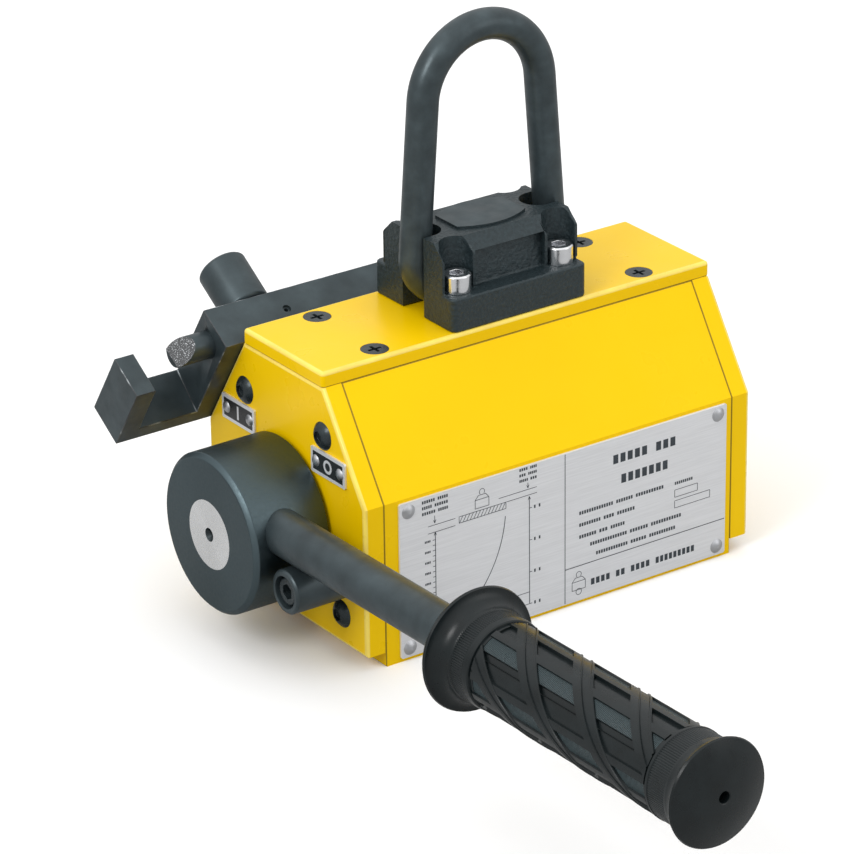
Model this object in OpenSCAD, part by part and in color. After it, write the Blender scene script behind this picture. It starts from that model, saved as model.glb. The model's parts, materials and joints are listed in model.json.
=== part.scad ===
/* [Magnet block] */
// Length of the block over both end plates
block_l = 166; // [160:1:190]
// Width of the block at the pole faces
block_w = 96.5; // [94:0.5:110]
// Height at which the side walls bend inward
bend_z = 61.2; // [60:0.2:64]
// Height of the block under the top plate
eave_z = 98; // [96:0.5:104]
// Thickness of each end plate
end_t = 8; // [7:0.5:10]
// Height of the end plates' lower edge above the pole faces
end_lift = 5.5; // [3:0.5:8]
// Width of the top plate
top_w = 48.8; // [48:0.2:54]
// Thickness of the top plate
top_t = 5.5; // [5:0.5:8]

/* [Rotor and shaft] */
// Height of the rotor's axis above the pole faces
axis_z = 43; // [42:0.5:45]
// Radius of the magnetic rotor
rotor_r = 30; // [26:0.5:31]
// Air gap between the rotor and the poles
air_gap = 0.4; // [0.3:0.1:1]
// Radius of the shaft at the hub end
shaft_r = 12.5; // [10:0.5:12.5]
// Radius of the journal at the far end
journal_r = 10; // [8:0.5:10]
// Radial clearance of a running fit
run_gap = 0.05; // [0.02:0.01:0.1]

/* [Lever] */
// Radius of the lever hub
hub_r = 29; // [27:0.5:29.5]
// Length of the lever hub
hub_l = 30.4; // [29:0.2:34]
// Radius of the lever rod
rod_r = 8; // [7:0.5:8]
// Height of the rod's axis above the shaft's axis
rod_offset = 7; // [6:0.5:8]
// Rise of the lever when it rests on its stop, in degrees
rod_rise = 1; // [0:0.5:2]
// Distance from the shaft's axis to the grip's inner flange
grip_start = 137.8; // [125:0.2:150]
// Length of the grip from its inner flange to its end
grip_l = 128.6; // [115:0.2:135]
// Radius of the grip's body
grip_r = 15.3; // [14:0.1:17]

/* [Latch] */
// Thickness of the latch bar
bar_t = 16.8; // [16:0.2:20]
// Height of the latch bar along the sloped wall
bar_h = 43.8; // [42:0.2:43.8]
// Length of the latch bar
bar_l = 129.4; // [120:0.2:150]
// Radius of the latch bolt
bolt_r = 5; // [4:0.5:5]
// Travel of the latch bolt
bolt_travel = 18; // [16:0.5:18]
// Diameter of the latch knob
knob_d = 18; // [16:0.5:20]

/* [Lifting ring and saddle] */
// Radius of the ring's round bar
ring_r = 5.6; // [5:0.1:5.8]
// Radius of the ring's upper bow, on the bar's centre line
bow_r = 24.8; // [23:0.2:26]
// Height of the bow's centre above the pole faces
bow_z = 178; // [165:1:190]
// Lean of each leg of the ring, in degrees
leg_lean = 4.3; // [3:0.1:5]
// Length of the saddle
saddle_l = 57.4; // [57:0.2:62]
// Width of the saddle's foot
saddle_w = 47.4; // [47:0.2:48.6]
// Height of the saddle's foot
foot_h = 12.4; // [10:0.2:14]
// Height of the whole saddle
saddle_h = 30; // [28:0.5:32]

/* [Hidden] */
$fn = 72;

// Colours
yellow = [0.98, 0.80, 0.02];
black_steel = [0.22, 0.27, 0.29];
steel = [0.62, 0.63, 0.65];
zinc = [0.80, 0.80, 0.82];
bronze = [0.72, 0.52, 0.25];
rubber = [0.12, 0.14, 0.15];
silver = [0.85, 0.86, 0.87];
magnet = [0.45, 0.45, 0.48];

// Small values that many pieces share
eps = 0.01;                     // sinks one cut into the next
snug = 0.05;                    // radial play of a screw or plug in its hole
slip = 0.02;                    // radial play of the shaft and the rod in the hub
half_l = block_l / 2;
half_w = block_w / 2;
core_l = block_l - 2 * end_t;   // between the end plates
half_core = core_l / 2;
top_z = eave_z + top_t;         // upper face of the top plate

// Sloped side wall: its tilt from the vertical, and its length
slope_run = half_w - top_w / 2;
slope_tilt = atan(slope_run / (eave_z - bend_z));

// Magnetic circuit
bore_r = rotor_r + air_gap;
stator_gap = 12;                // half the gap that holds the stator magnets
spacer_gap = 6;                 // half the gap between the pole faces
magnet_count = 4;
magnet_space = 0.6;
slab_t = 16;                    // thickness of the rotor's magnet slab
disc_t = 8;                     // end discs of the rotor
disc_play = 0.5;                // end float of the rotor
rotor_core = core_l - 2 * (disc_t + disc_play);
bush_wall = 3.5;
far_bush_l = 5.5;
rotor_screw_r = 2;
rotor_screw_at = 20;            // their distance from the rotor's axis

// End plate screws, as [y, z] of one side
end_screw_at = [[24, 80.3], [33.5, 17]];
end_screw_r = 3;
end_screw_l = 20;
button_r = 5.2;
button_h = 2.6;

// Top plate screws
top_screw_x = 56.7;
top_screw_y = 17.5;
top_screw_head_r = 5;
top_screw_r = 2.5;
top_screw_l = 14;
top_screw_cone = 2.7;
top_screw_sink = 0.05;

// Lever
hub_gap = 1.2;                  // from the end plate to the hub
hub_face = -half_l - hub_gap - hub_l;
centre_r = 2.5;                     // drilling in the shaft's end face
centre_pilot_r = 1.2;
centre_cone = 2.3;
centre_depth = 6;
hub_chamfer = 1.7;
rod_x = -101.5;
rod_root = 13.3;                // where the rod ends inside the hub
rod_end_gap = 10;               // rubber beyond the rod's end
key_w = 8;
key_h = 7;
key_l = 22;
grub_r = 3;
grub_l = 10;

// Grip: its flanges and end dome
flange_r = 21.6;
flange_reach = 9;
flange_t = 2;
end_flange_r = 18.3;
end_flange_reach = 9;
dome_h = 4.4;
grip_hole_r = 2;

// Off stop
stop_r = 8;
stop_l = 26.2;
stop_y = -38;
stop_gap = 0.2;
stop_z = axis_z + (rod_offset - rod_r - stop_gap - stop_r) / cos(rod_rise) - stop_y * tan(rod_rise);
stop_bore_r = 5.8;
stop_bore_h = 7;
cap_r = 5;
cap_h = 6;
cap_shank_r = 3;

// Labels and nameplate
sheet_t = 0.8;
label_w = 20.5;
label_h = 9.5;
label_y = 27.8;
label_z = 70.2;
label_rivet_y = 7.2;
label_rivet_r = 2.2;
label_stem_r = 0.6;
name_w = 141.4;
name_h = 58.6;
name_x = 1.4;
name_z = 30.7;
name_rivet_x = 66.9;
name_rivet_z = 25.8;
name_rivet_r = 2.7;
name_stem_r = 1;
rivet_stem = 5;

// Latch bar, in the sloped wall's frame: x along the block, y outward, z up the slope
bar_x0 = -121.4;
hook_t = 7.8;
hook_h = 28.2;
shoulder_x = -89.9;
floor_z = 7.7;
bolt_y = bar_t / 2;
bolt_z = bar_h - 9;
bolt_out = 14;                  // how far the bolt stands out of the shoulder
bolt_l = 45;
bolt_tip = shoulder_x - bolt_out;
bolt_tail = bolt_tip + bolt_l;
ramp_root = 2.6;                // blunt height under the bolt's ramp
ramp_angle = 48;
bolt_bore_l = 58;
knob_x = -68.3;
knob_lift = 0.6;
knob_h = 20;
stem_r = 3;
slot_play = 0.2;
set_screw_x = -60;
set_screw_r = 1.5;
set_screw_sink = 0.9;
groove_w = 3.3;
groove_depth = 1.3;
bar_screw_x = [-65, -30, -2];
bar_screw_z = 14;
bar_screw_sink = 6.8;
bar_screw_l = 22;
spring_r = 3.7;
wire_r = 0.45;
spring_turns = 9;
spring_steps = 14;              // rings a turn
wire_sides = 6;

// Where the rod's axis crosses the latch bar when the magnet is on, which slants the notch floor
hub_in_slope_y = -half_w * cos(slope_tilt) + (axis_z - bend_z) * sin(slope_tilt);
hub_in_slope_z = half_w * sin(slope_tilt) + (axis_z - bend_z) * cos(slope_tilt);
reach_y = bolt_y - hub_in_slope_y;
rest_h = rod_offset + rod_r + stop_gap;
// the rod lies on the floor where reach * sin(a) = rest_h - drop * cos(a)
drop = hub_in_slope_z - floor_z;
floor_tilt = asin(rest_h / sqrt(reach_y * reach_y + drop * drop)) - atan(drop / reach_y);

// Saddle
saddle_x = 0.5;
body_half_y = 17.8;
chamfer_y = 12.6;
chamfer_drop = 5;
lean_top_y = 13;
lean_foot_y = 16;
lean_half_x = 15.1;
pocket_r = 6.2;
pocket_x = 21.8;
pocket_y = 16.4;
slot_r = 6.4;
slot_x = 24.4;
channel_h = 14;
pad_h = 0.9;
pad_r = 26;
pad_half_x = 14.5;
pad_half_y = 11;
saddle_screw_l = 30;
saddle_cap_h = 6.6;
foot_corner = 2.4;
socket_r = 2.9;
socket_depth = 3.4;

// Ring, in the XZ plane
ring_x = 1.5;
bar_z = top_z + 1.1 + ring_r;   // centre line of the bottom bar
corner_r = 13;
bar_lap = 1;
corner_z = bar_z + corner_r;
bow_end_z = bow_z + bow_r * sin(leg_lean);
corner_x = bow_r * cos(leg_lean)
    - (corner_r + (corner_z - bow_end_z) * sin(leg_lean)) / cos(leg_lean);
leg_top = [bow_r * cos(leg_lean), bow_end_z];
leg_foot = [corner_x + corner_r * cos(leg_lean), corner_z + corner_r * sin(leg_lean)];

// ---------- frames and shared shapes ----------

// Stands a y-z outline upright between x0 and x1
module along_x(x0, x1) {
    translate([x0, 0, 0]) rotate([90, 0, 90]) linear_extrude(x1 - x0) children();
}

// A cylinder along x, from x0 to x1, at y and z
module x_rod(x0, x1, y, z, r) {
    translate([x0, y, z]) rotate([0, 90, 0]) cylinder(r = r, h = x1 - x0);
}

// The sloped wall's frame
module on_slope() {
    translate([0, half_w, bend_z]) rotate([slope_tilt, 0, 0]) children();
}

// The lever's frame at rest: z runs out along the rod
module on_lever() {
    translate([rod_x, 0, axis_z]) rotate([90 - rod_rise, 0, 0]) translate([0, rod_offset, 0]) children();
}

// A low dome on a round base
module dome(r, h) {
    ball = (r * r + h * h) / (2 * h);
    intersection() {
        translate([0, 0, h - ball]) sphere(r = ball);
        cylinder(r = r, h = h);
    }
}

// Hexagon socket, cut downward from z = 0
module hex_socket(r, depth) {
    translate([0, 0, -depth]) cylinder(r = r, h = depth + 1, $fn = 6);
}

// Socket cap screw: its head's seat is at z = 0
module cap_screw(head_r, head_h, shank_r, shank_l) {
    difference() {
        union() {
            cylinder(r = head_r, h = head_h - 0.5);
            translate([0, 0, head_h - 0.5]) cylinder(r1 = head_r, r2 = head_r - 0.5, h = 0.5);
            translate([0, 0, -shank_l]) cylinder(r = shank_r, h = shank_l + eps);
        }
        translate([0, 0, head_h]) hex_socket(socket_r, socket_depth);
    }
}

// Button head screw, with its seat at z = 0
module button_screw(shank_r, shank_l) {
    difference() {
        union() {
            dome(button_r, button_h);
            translate([0, 0, -shank_l]) cylinder(r = shank_r, h = shank_l + eps);
        }
        translate([0, 0, button_h]) hex_socket(2.3, 1.6);
    }
}

// Countersunk screw with a cross recess: its flat head is level with z = 0
module cross_screw(head_r, cone_h, shank_r, shank_l) {
    difference() {
        union() {
            translate([0, 0, -cone_h]) cylinder(r1 = shank_r, r2 = head_r, h = cone_h);
            translate([0, 0, -shank_l]) cylinder(r = shank_r, h = shank_l - cone_h + eps);
        }
        for (turn = [0, 90]) rotate(turn) translate([-2.6, -0.55, -1.3]) cube([5.2, 1.1, 2]);
    }
}

// Rivet with a low domed head, seated at z = 0
module rivet(head_r, stem_r) {
    union() {
        dome(head_r, head_r * 0.45);
        translate([0, 0, -rivet_stem]) cylinder(r = stem_r, h = rivet_stem + eps);
    }
}

// Plate with round upright corners
module round_plate(l, w, h, r) {
    union() {
        translate([-l / 2, -w / 2 + r, 0]) cube([l, w - 2 * r, h]);
        translate([-l / 2 + r, -w / 2, 0]) cube([l - 2 * r, w, h]);
        for (x = [-1, 1], y = [-1, 1])
            translate([x * (l / 2 - r), y * (w / 2 - r), 0]) cylinder(r = r, h = h);
    }
}

// ---------- outlines of the block, in y and z ----------

module block_outline(low) {
    polygon([
        [-half_w, low], [half_w, low], [half_w, bend_z], [top_w / 2, eave_z],
        [-top_w / 2, eave_z], [-half_w, bend_z]
    ]);
}

module axis_circle(r) {
    translate([0, axis_z]) circle(r = r);
}

// side is -1 for the front pole and 1 for the rear one
module pole_outline(side) {
    difference() {
        intersection() {
            block_outline(0);
            translate([side > 0 ? 0 : -block_w, -1]) square([block_w, eave_z + 2]);
        }
        axis_circle(bore_r);
        translate([-stator_gap, axis_z]) square([2 * stator_gap, eave_z]);
        translate([-spacer_gap, -1]) square([2 * spacer_gap, axis_z]);
    }
}

// ---------- positions of the fasteners ----------

// The screws of one end plate: side is -1 at the hub end and 1 at the far end
module at_end_screws(side) {
    for (p = end_screw_at, y = [-1, 1])
        translate([side * half_l, y * p[0], p[1]]) rotate([0, side * 90, 0]) children();
}

module at_top_screws() {
    for (x = [-1, 1], y = [-1, 1])
        translate([x * top_screw_x, y * top_screw_y, top_z]) children();
}

module at_saddle_screws() {
    for (x = [-1, 1], y = [-1, 1])
        translate([saddle_x + x * pocket_x, y * pocket_y, top_z + foot_h]) children();
}

module at_bar_screws() {
    for (x = bar_screw_x)
        on_slope() translate([x, bar_t, bar_screw_z]) rotate([-90, 0, 0]) children();
}

module at_name_rivets() {
    for (x = [-1, 1], z = [-1, 1])
        translate([name_x + x * name_rivet_x, -half_w - sheet_t, name_z + z * name_rivet_z])
            rotate([90, 0, 0]) children();
}

module at_label_rivets() {
    for (side = [-1, 1], y = [-1, 1])
        translate([-half_l - sheet_t, side * label_y + y * label_rivet_y, label_z])
            rotate([0, -90, 0]) children();
}

module at_rotor_screws(side) {
    for (y = [-1, 1])
        translate([side * (rotor_core / 2 + disc_t), y * rotor_screw_at, axis_z])
            rotate([0, side * 90, 0]) children();
}

// ---------- magnet block ----------

module pole(side) {
    difference() {
        along_x(-half_core, half_core) pole_outline(side);
        for (end = [-1, 1]) at_end_screws(end)
            translate([0, 0, -end_screw_l]) cylinder(r = end_screw_r + snug, h = end_screw_l);
        at_top_screws() translate([0, 0, -top_screw_l]) cylinder(r = top_screw_r + snug, h = top_screw_l);
        at_saddle_screws()
            translate([0, 0, -saddle_screw_l - 1]) cylinder(r = cap_shank_r + snug, h = saddle_screw_l);
        if (side > 0) at_bar_screws()
            translate([0, 0, -bar_screw_sink - bar_screw_l])
                cylinder(r = cap_shank_r + snug, h = bar_screw_l);
        if (side < 0) {
            x_rod(-half_l, -half_l + end_screw_l, stop_y, stop_z, cap_shank_r + snug);
            at_name_rivets() translate([0, 0, -rivet_stem]) cylinder(r = name_stem_r + snug, h = rivet_stem);
        }
    }
}

module front_pole() {
    color(yellow) pole(-1);
}

module rear_pole() {
    color(yellow) pole(1);
}

module pole_spacer() {
    color(bronze) along_x(-half_core, half_core) difference() {
        translate([-spacer_gap, 0]) square([2 * spacer_gap, axis_z - rotor_r + 2]);
        axis_circle(bore_r);
    }
}

// A row of equal magnet blocks between two x values
module magnet_row(length, half_y, z0, z1) {
    pitch = length / magnet_count;
    for (n = [0 : magnet_count - 1])
        translate([-length / 2 + n * pitch + magnet_space / 2, -half_y, z0])
            cube([pitch - magnet_space, 2 * half_y, z1 - z0]);
}

module stator_magnets() {
    color(magnet) magnet_row(core_l, stator_gap - snug, axis_z + bore_r + 0.6, eave_z - 0.2);
}

module hub_end_plate() {
    color(yellow) difference() {
        along_x(-half_l, -half_core) difference() {
            block_outline(end_lift);
            axis_circle(shaft_r + bush_wall + snug);
        }
        at_end_screws(-1) translate([0, 0, -end_t - 1]) cylinder(r = end_screw_r + snug, h = end_t + 2);
        x_rod(-half_l - 1, -half_core + 1, stop_y, stop_z, cap_shank_r + snug);
        at_label_rivets() translate([0, 0, -rivet_stem]) cylinder(r = label_stem_r + snug, h = rivet_stem);
    }
}

module far_end_plate() {
    color(yellow) difference() {
        along_x(half_core, half_l) block_outline(end_lift);
        x_rod(half_core - 1, half_core + far_bush_l + 0.2, 0, axis_z, journal_r + bush_wall + snug);
        at_end_screws(1) translate([0, 0, -end_t - 1]) cylinder(r = end_screw_r + snug, h = end_t + 2);
    }
}

module top_plate() {
    color(yellow) difference() {
        translate([0, 0, eave_z]) round_plate(block_l, top_w, top_t, 1.5);
        at_top_screws() {
            translate([0, 0, -top_screw_sink - top_screw_cone])
                cylinder(r1 = top_screw_r + snug, r2 = top_screw_head_r + snug, h = top_screw_cone);
            translate([0, 0, -top_screw_sink - eps]) cylinder(r = top_screw_head_r + snug, h = 1);
            translate([0, 0, -top_t - 1]) cylinder(r = top_screw_r + snug, h = top_t + 1);
        }
        at_saddle_screws() translate([0, 0, -saddle_screw_l]) cylinder(r = cap_shank_r + snug,
            h = saddle_screw_l);
    }
}

module top_plate_screws() {
    color(black_steel) at_top_screws() translate([0, 0, -top_screw_sink])
        cross_screw(top_screw_head_r, top_screw_cone, top_screw_r, top_screw_l - 1);
}

module hub_end_screws() {
    color(black_steel) at_end_screws(-1) button_screw(end_screw_r, end_screw_l - 1);
}

module far_end_screws() {
    color(black_steel) at_end_screws(1) button_screw(end_screw_r, end_screw_l - 1);
}

// A plain bush between x0 and x1
module bush(x0, x1, bore, outer) {
    difference() {
        x_rod(x0, x1, 0, axis_z, outer);
        x_rod(x0 - 1, x1 + 1, 0, axis_z, bore);
    }
}

module hub_end_bush() {
    color(bronze) bush(-half_l, -half_core, shaft_r + run_gap, shaft_r + bush_wall);
}

module far_end_bush() {
    color(bronze) bush(half_core, half_core + far_bush_l, journal_r + run_gap, journal_r + bush_wall);
}

// ---------- plates and rivets ----------

module nameplate() {
    color(silver) difference() {
        translate([name_x, -half_w, name_z - name_h / 2]) rotate([90, 0, 0])
            translate([0, name_h / 2, 0]) round_plate(name_w, name_h, sheet_t, 1);
        at_name_rivets() translate([0, 0, -2]) cylinder(r = name_stem_r + snug, h = 3);
    }
}

module nameplate_rivets() {
    color(zinc) at_name_rivets() rivet(name_rivet_r, name_stem_r);
}

// side is 1 for the rear label and -1 for the front one
module label(side) {
    difference() {
        translate([-half_l, side * label_y, label_z]) rotate([0, -90, 0])
            round_plate(label_h, label_w, sheet_t, 0.8);
        at_label_rivets() translate([0, 0, -2]) cylinder(r = label_stem_r + snug, h = 3);
    }
}

module on_label() {
    color(silver) label(1);
}

module off_label() {
    color(silver) label(-1);
}

module label_rivets() {
    color(zinc) at_label_rivets() rivet(label_rivet_r, label_stem_r);
}

// ---------- off stop ----------

module stop_post() {
    x0 = -half_l - stop_l;
    color(black_steel) difference() {
        union() {
            x_rod(x0 + 0.8, -half_l, stop_y, stop_z, stop_r);
            translate([x0, stop_y, stop_z]) rotate([0, 90, 0])
                cylinder(r1 = stop_r - 0.8, r2 = stop_r, h = 0.8);
        }
        x_rod(x0 - 1, x0 + stop_bore_h, stop_y, stop_z, stop_bore_r);
        x_rod(x0, -half_l + 1, stop_y, stop_z, cap_shank_r + snug);
    }
}

module stop_screw() {
    seat = -half_l - stop_l + stop_bore_h;
    color(black_steel) translate([seat, stop_y, stop_z]) rotate([0, -90, 0])
        cap_screw(cap_r, cap_h, cap_shank_r, stop_l - stop_bore_h + end_screw_l - 1);
}

// ---------- saddle ----------

// Upper outline of the saddle, in y and z, above the foot
module saddle_outline() {
    polygon([
        [-body_half_y, 0], [body_half_y, 0],
        [body_half_y, saddle_h - chamfer_drop], [chamfer_y, saddle_h],
        [-chamfer_y, saddle_h], [-body_half_y, saddle_h - chamfer_drop]
    ]);
}

// What the leaning wall between the pockets takes away; side is -1 or 1
module lean_cut(side) {
    along_x(-lean_half_x, lean_half_x) polygon([
        [side * lean_foot_y, foot_h], [side * lean_top_y, saddle_h + 1],
        [side * 30, saddle_h + 1], [side * 30, foot_h]
    ]);
}

module saddle() {
    color(black_steel) translate([saddle_x, 0, top_z]) difference() {
        union() {
            round_plate(saddle_l, saddle_w, foot_h, foot_corner);
            along_x(-saddle_l / 2, saddle_l / 2) saddle_outline();
            translate([0, 0, saddle_h]) linear_extrude(pad_h) intersection() {
                square([2 * pad_half_x, 2 * pad_half_y], center = true);
                translate([0, pad_r - pad_half_y]) circle(r = pad_r);
                translate([0, pad_half_y - pad_r]) circle(r = pad_r);
            }
        }
        for (side = [-1, 1]) lean_cut(side);
        for (x = [-1, 1], y = [-1, 1]) {
            translate([x * pocket_x, y * pocket_y, foot_h]) cylinder(r = pocket_r, h = saddle_h);
            translate([x * pocket_x - pocket_r, y > 0 ? pocket_y : -pocket_y - saddle_w, foot_h])
                cube([2 * pocket_r, saddle_w, saddle_h]);
            translate([x * pocket_x, y * pocket_y, -1]) cylinder(r = cap_shank_r + snug, h = foot_h + 2);
        }
        for (x = [-1, 1]) {
            translate([x * slot_x, 0, -1]) cylinder(r = slot_r, h = saddle_h + 3);
            translate([x > 0 ? slot_x : -slot_x - saddle_l, -slot_r, -1])
                cube([saddle_l, 2 * slot_r, saddle_h + 3]);
        }
        translate([-saddle_l, -slot_r, -1]) cube([2 * saddle_l, 2 * slot_r, channel_h + 1]);
    }
}

module saddle_screws() {
    color(zinc) at_saddle_screws() cap_screw(cap_r, saddle_cap_h, cap_shank_r, saddle_screw_l - 0.5);
}

// ---------- latch bar and what it holds ----------

module latch_bar() {
    color(black_steel) on_slope() difference() {
        translate([bar_x0, 0, 0]) cube([bar_l, bar_t, bar_h]);
        // the hook at the end is lower than the bar
        translate([bar_x0 - 1, -1, hook_h]) cube([hook_t + 2, bar_t + 2, bar_h]);
        // the notch that takes the lever, with its floor square to the lever
        translate([bar_x0 + hook_t, bolt_y, floor_z]) rotate([floor_tilt, 0, 0])
            translate([0, -bar_t, 0]) cube([shoulder_x - bar_x0 - hook_t, 2 * bar_t, bar_h + bar_t]);
        // bore of the bolt and its spring
        x_rod(shoulder_x - 1, shoulder_x + bolt_bore_l, bolt_y, bolt_z, bolt_r + run_gap);
        // slot of the knob's stem
        translate([knob_x, bolt_y, bolt_z]) rotate([-90, 0, 0]) {
            slot_r = stem_r + slot_play;
            cylinder(r = slot_r, h = bar_t);
            translate([bolt_travel, 0, 0]) cylinder(r = slot_r, h = bar_t);
            translate([0, -slot_r, 0]) cube([bolt_travel, 2 * slot_r, bar_t]);
        }
        translate([set_screw_x, bolt_y, bolt_z]) cylinder(r = set_screw_r + snug, h = bar_h);
        for (x = bar_screw_x) translate([x, bar_t, bar_screw_z]) rotate([-90, 0, 0]) {
            translate([0, 0, -bar_screw_sink]) cylinder(r = cap_r + 0.4, h = bar_screw_sink + 1);
            translate([0, 0, -bar_t - 1]) cylinder(r = cap_shank_r + snug, h = bar_t + 1);
        }
    }
}

module latch_bar_screws() {
    color(black_steel) at_bar_screws()
        translate([0, 0, -bar_screw_sink]) cap_screw(cap_r, cap_h, cap_shank_r, bar_screw_l - 0.5);
}

module latch_set_screw() {
    tip = bolt_z + bolt_r - groove_depth + 0.3;
    color(steel) on_slope() difference() {
        translate([set_screw_x, bolt_y, tip]) cylinder(r = set_screw_r, h = bar_h - set_screw_sink - tip);
        translate([set_screw_x, bolt_y, bar_h - set_screw_sink]) hex_socket(0.85, 1.4);
    }
}

// One ring of points round the wire at turn angle a, for a coil along x
function wire_ring(a, x0, pitch) = [
    for (k = [0 : wire_sides - 1])
        let (b = 360 * k / wire_sides, out = spring_r + wire_r * cos(b))
        [x0 + pitch * a / 360 + wire_r * sin(b), out * cos(a), out * sin(a)]
];

module latch_spring() {
    x0 = bolt_tail + wire_r + 0.1;
    x1 = shoulder_x + bolt_bore_l - wire_r - 0.1;
    pitch = (x1 - x0) / spring_turns;
    rings = spring_turns * spring_steps;
    points = [for (n = [0 : rings]) each wire_ring(360 * n / spring_steps, x0, pitch)];
    walls = [
        for (n = [0 : rings - 1], k = [0 : wire_sides - 1])
            let (a = n * wire_sides + k, b = n * wire_sides + (k + 1) % wire_sides)
            [a, b, b + wire_sides, a + wire_sides]
    ];
    ends = [
        [for (k = [wire_sides - 1 : -1 : 0]) k],
        [for (k = [0 : wire_sides - 1]) rings * wire_sides + k]
    ];
    color(steel) on_slope() translate([0, bolt_y, bolt_z])
        polyhedron(points = points, faces = concat(walls, ends), convexity = 10);
}

module latch_bolt() {
    ramp = 2 * bolt_r - ramp_root;
    color(steel) on_slope() difference() {
        x_rod(bolt_tip, bolt_tail, bolt_y, bolt_z, bolt_r);
        // ramp on the upper side of the tip, which the lever rod pushes aside
        translate([bolt_tip, bolt_y, bolt_z - bolt_r + ramp_root]) rotate([0, -ramp_angle, 0])
            translate([-bolt_l, -bolt_l / 2, 0]) cube([bolt_l + 2 * ramp, bolt_l, bolt_l]);
        // groove that the set screw keeps upright
        translate([set_screw_x - bolt_travel - 2, bolt_y - groove_w / 2, bolt_z + bolt_r - groove_depth])
            cube([bolt_l, groove_w, bolt_r]);
        // hole of the knob's stem
        translate([knob_x, bolt_y, bolt_z]) rotate([-90, 0, 0]) cylinder(r = stem_r, h = 2 * bolt_r);
    }
}

module latch_knob() {
    base = bar_t + knob_lift;
    knob_edge = 1;
    color(black_steel) on_slope() translate([knob_x, 0, bolt_z]) rotate([-90, 0, 0]) union() {
        translate([0, 0, bolt_y + 0.3]) cylinder(r = stem_r - 0.02, h = base - bolt_y);
        translate([0, 0, base]) cylinder(r1 = knob_d / 2 - knob_edge, r2 = knob_d / 2, h = knob_edge);
        translate([0, 0, base + knob_edge]) cylinder(d = knob_d, h = knob_h - 2 * knob_edge);
        translate([0, 0, base + knob_h - knob_edge])
            cylinder(r1 = knob_d / 2, r2 = knob_d / 2 - knob_edge, h = knob_edge);
    }
}

// ---------- rotor ----------

module rotor_disc(side) {
    x = side * rotor_core / 2;
    x_rod(min(x, x + side * disc_t), max(x, x + side * disc_t), 0, axis_z, rotor_r - 0.5);
}

module rotor_shaft() {
    color(steel) difference() {
        union() {
            rotor_disc(-1);
            x_rod(hub_face, -rotor_core / 2 - disc_t + eps, 0, axis_z, shaft_r);
        }
        // keyway
        translate([hub_face + hub_l - key_l, -key_w / 2, axis_z - shaft_r - 1]) cube([key_l, key_w, 5]);
        // centre drilling in the end face
        translate([hub_face, 0, axis_z]) rotate([0, 90, 0]) {
            translate([0, 0, -eps]) cylinder(r1 = centre_r, r2 = centre_pilot_r, h = centre_cone);
            cylinder(r = centre_pilot_r, h = centre_depth);
        }
        at_rotor_screws(-1) rotor_screw_hole();
    }
}

module rotor_far_journal() {
    color(steel) difference() {
        union() {
            rotor_disc(1);
            x_rod(rotor_core / 2 + disc_t - eps, half_core + far_bush_l - 0.4, 0, axis_z, journal_r);
        }
        at_rotor_screws(1) rotor_screw_hole();
    }
}

module rotor_screw_hole() {
    translate([0, 0, -20]) cylinder(r = rotor_screw_r + snug, h = 21);
    translate([0, 0, -3.4]) cylinder(r = rotor_screw_r * 2 + 0.2, h = 5);
}

// side is -1 for the front half and 1 for the rear half
module rotor_pole(side) {
    difference() {
        along_x(-rotor_core / 2, rotor_core / 2) difference() {
            axis_circle(rotor_r);
            translate([side > 0 ? -block_w + slab_t / 2 : -slab_t / 2, 0]) square([block_w, eave_z]);
        }
        for (end = [-1, 1]) at_rotor_screws(end) rotor_screw_hole();
    }
}

module rotor_front_pole() {
    color(steel) rotor_pole(-1);
}

module rotor_rear_pole() {
    color(steel) rotor_pole(1);
}

module rotor_magnets() {
    reach = rotor_r - 2;
    color(magnet) magnet_row(rotor_core, slab_t / 2 - snug, axis_z - reach, axis_z + reach);
}

module rotor_screws() {
    color(black_steel) for (end = [-1, 1]) at_rotor_screws(end)
        translate([0, 0, -3.4]) cap_screw_small();
}

module cap_screw_small() {
    difference() {
        union() {
            cylinder(r = rotor_screw_r * 2, h = 3.2);
            translate([0, 0, -16]) cylinder(r = rotor_screw_r, h = 16 + eps);
        }
        translate([0, 0, 3.2]) hex_socket(1.7, 1.8);
    }
}

// ---------- lever ----------

module lever_hub() {
    back = hub_face + hub_l;
    color(black_steel) difference() {
        union() {
            x_rod(hub_face + hub_chamfer, back, 0, axis_z, hub_r);
            translate([hub_face, 0, axis_z]) rotate([0, 90, 0])
                cylinder(r1 = hub_r - hub_chamfer, r2 = hub_r, h = hub_chamfer);
        }
        x_rod(hub_face - 1, back + 1, 0, axis_z, shaft_r + slip);
        translate([back - key_l, -key_w / 2, axis_z - shaft_r - 3]) cube([key_l + 1, key_w, 5]);
        on_lever() translate([0, 0, rod_root]) cylinder(r = rod_r + slip, h = hub_r);
        // tapped hole of the grub screw, opposite the rod
        translate([rod_x, 0, axis_z]) rotate([-90, 0, 0]) cylinder(r = grub_r, h = hub_r + 1);
    }
}

module hub_key() {
    color(steel) translate([hub_face + hub_l - key_l, -key_w / 2 + snug, axis_z - shaft_r - 2.9])
        cube([key_l - 1, key_w - 2 * snug, key_h - 0.2]);
}

module hub_grub_screw() {
    outer = hub_r - 1.5;
    color(steel) translate([rod_x, outer - grub_l, axis_z]) rotate([-90, 0, 0]) difference() {
        cylinder(r = grub_r - snug, h = grub_l);
        translate([0, 0, grub_l]) hex_socket(1.7, 3);
    }
}

module lever_rod() {
    color(black_steel) on_lever() translate([0, 0, rod_root])
        cylinder(r = rod_r, h = grip_start + grip_l - rod_end_gap - rod_root);
}

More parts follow.
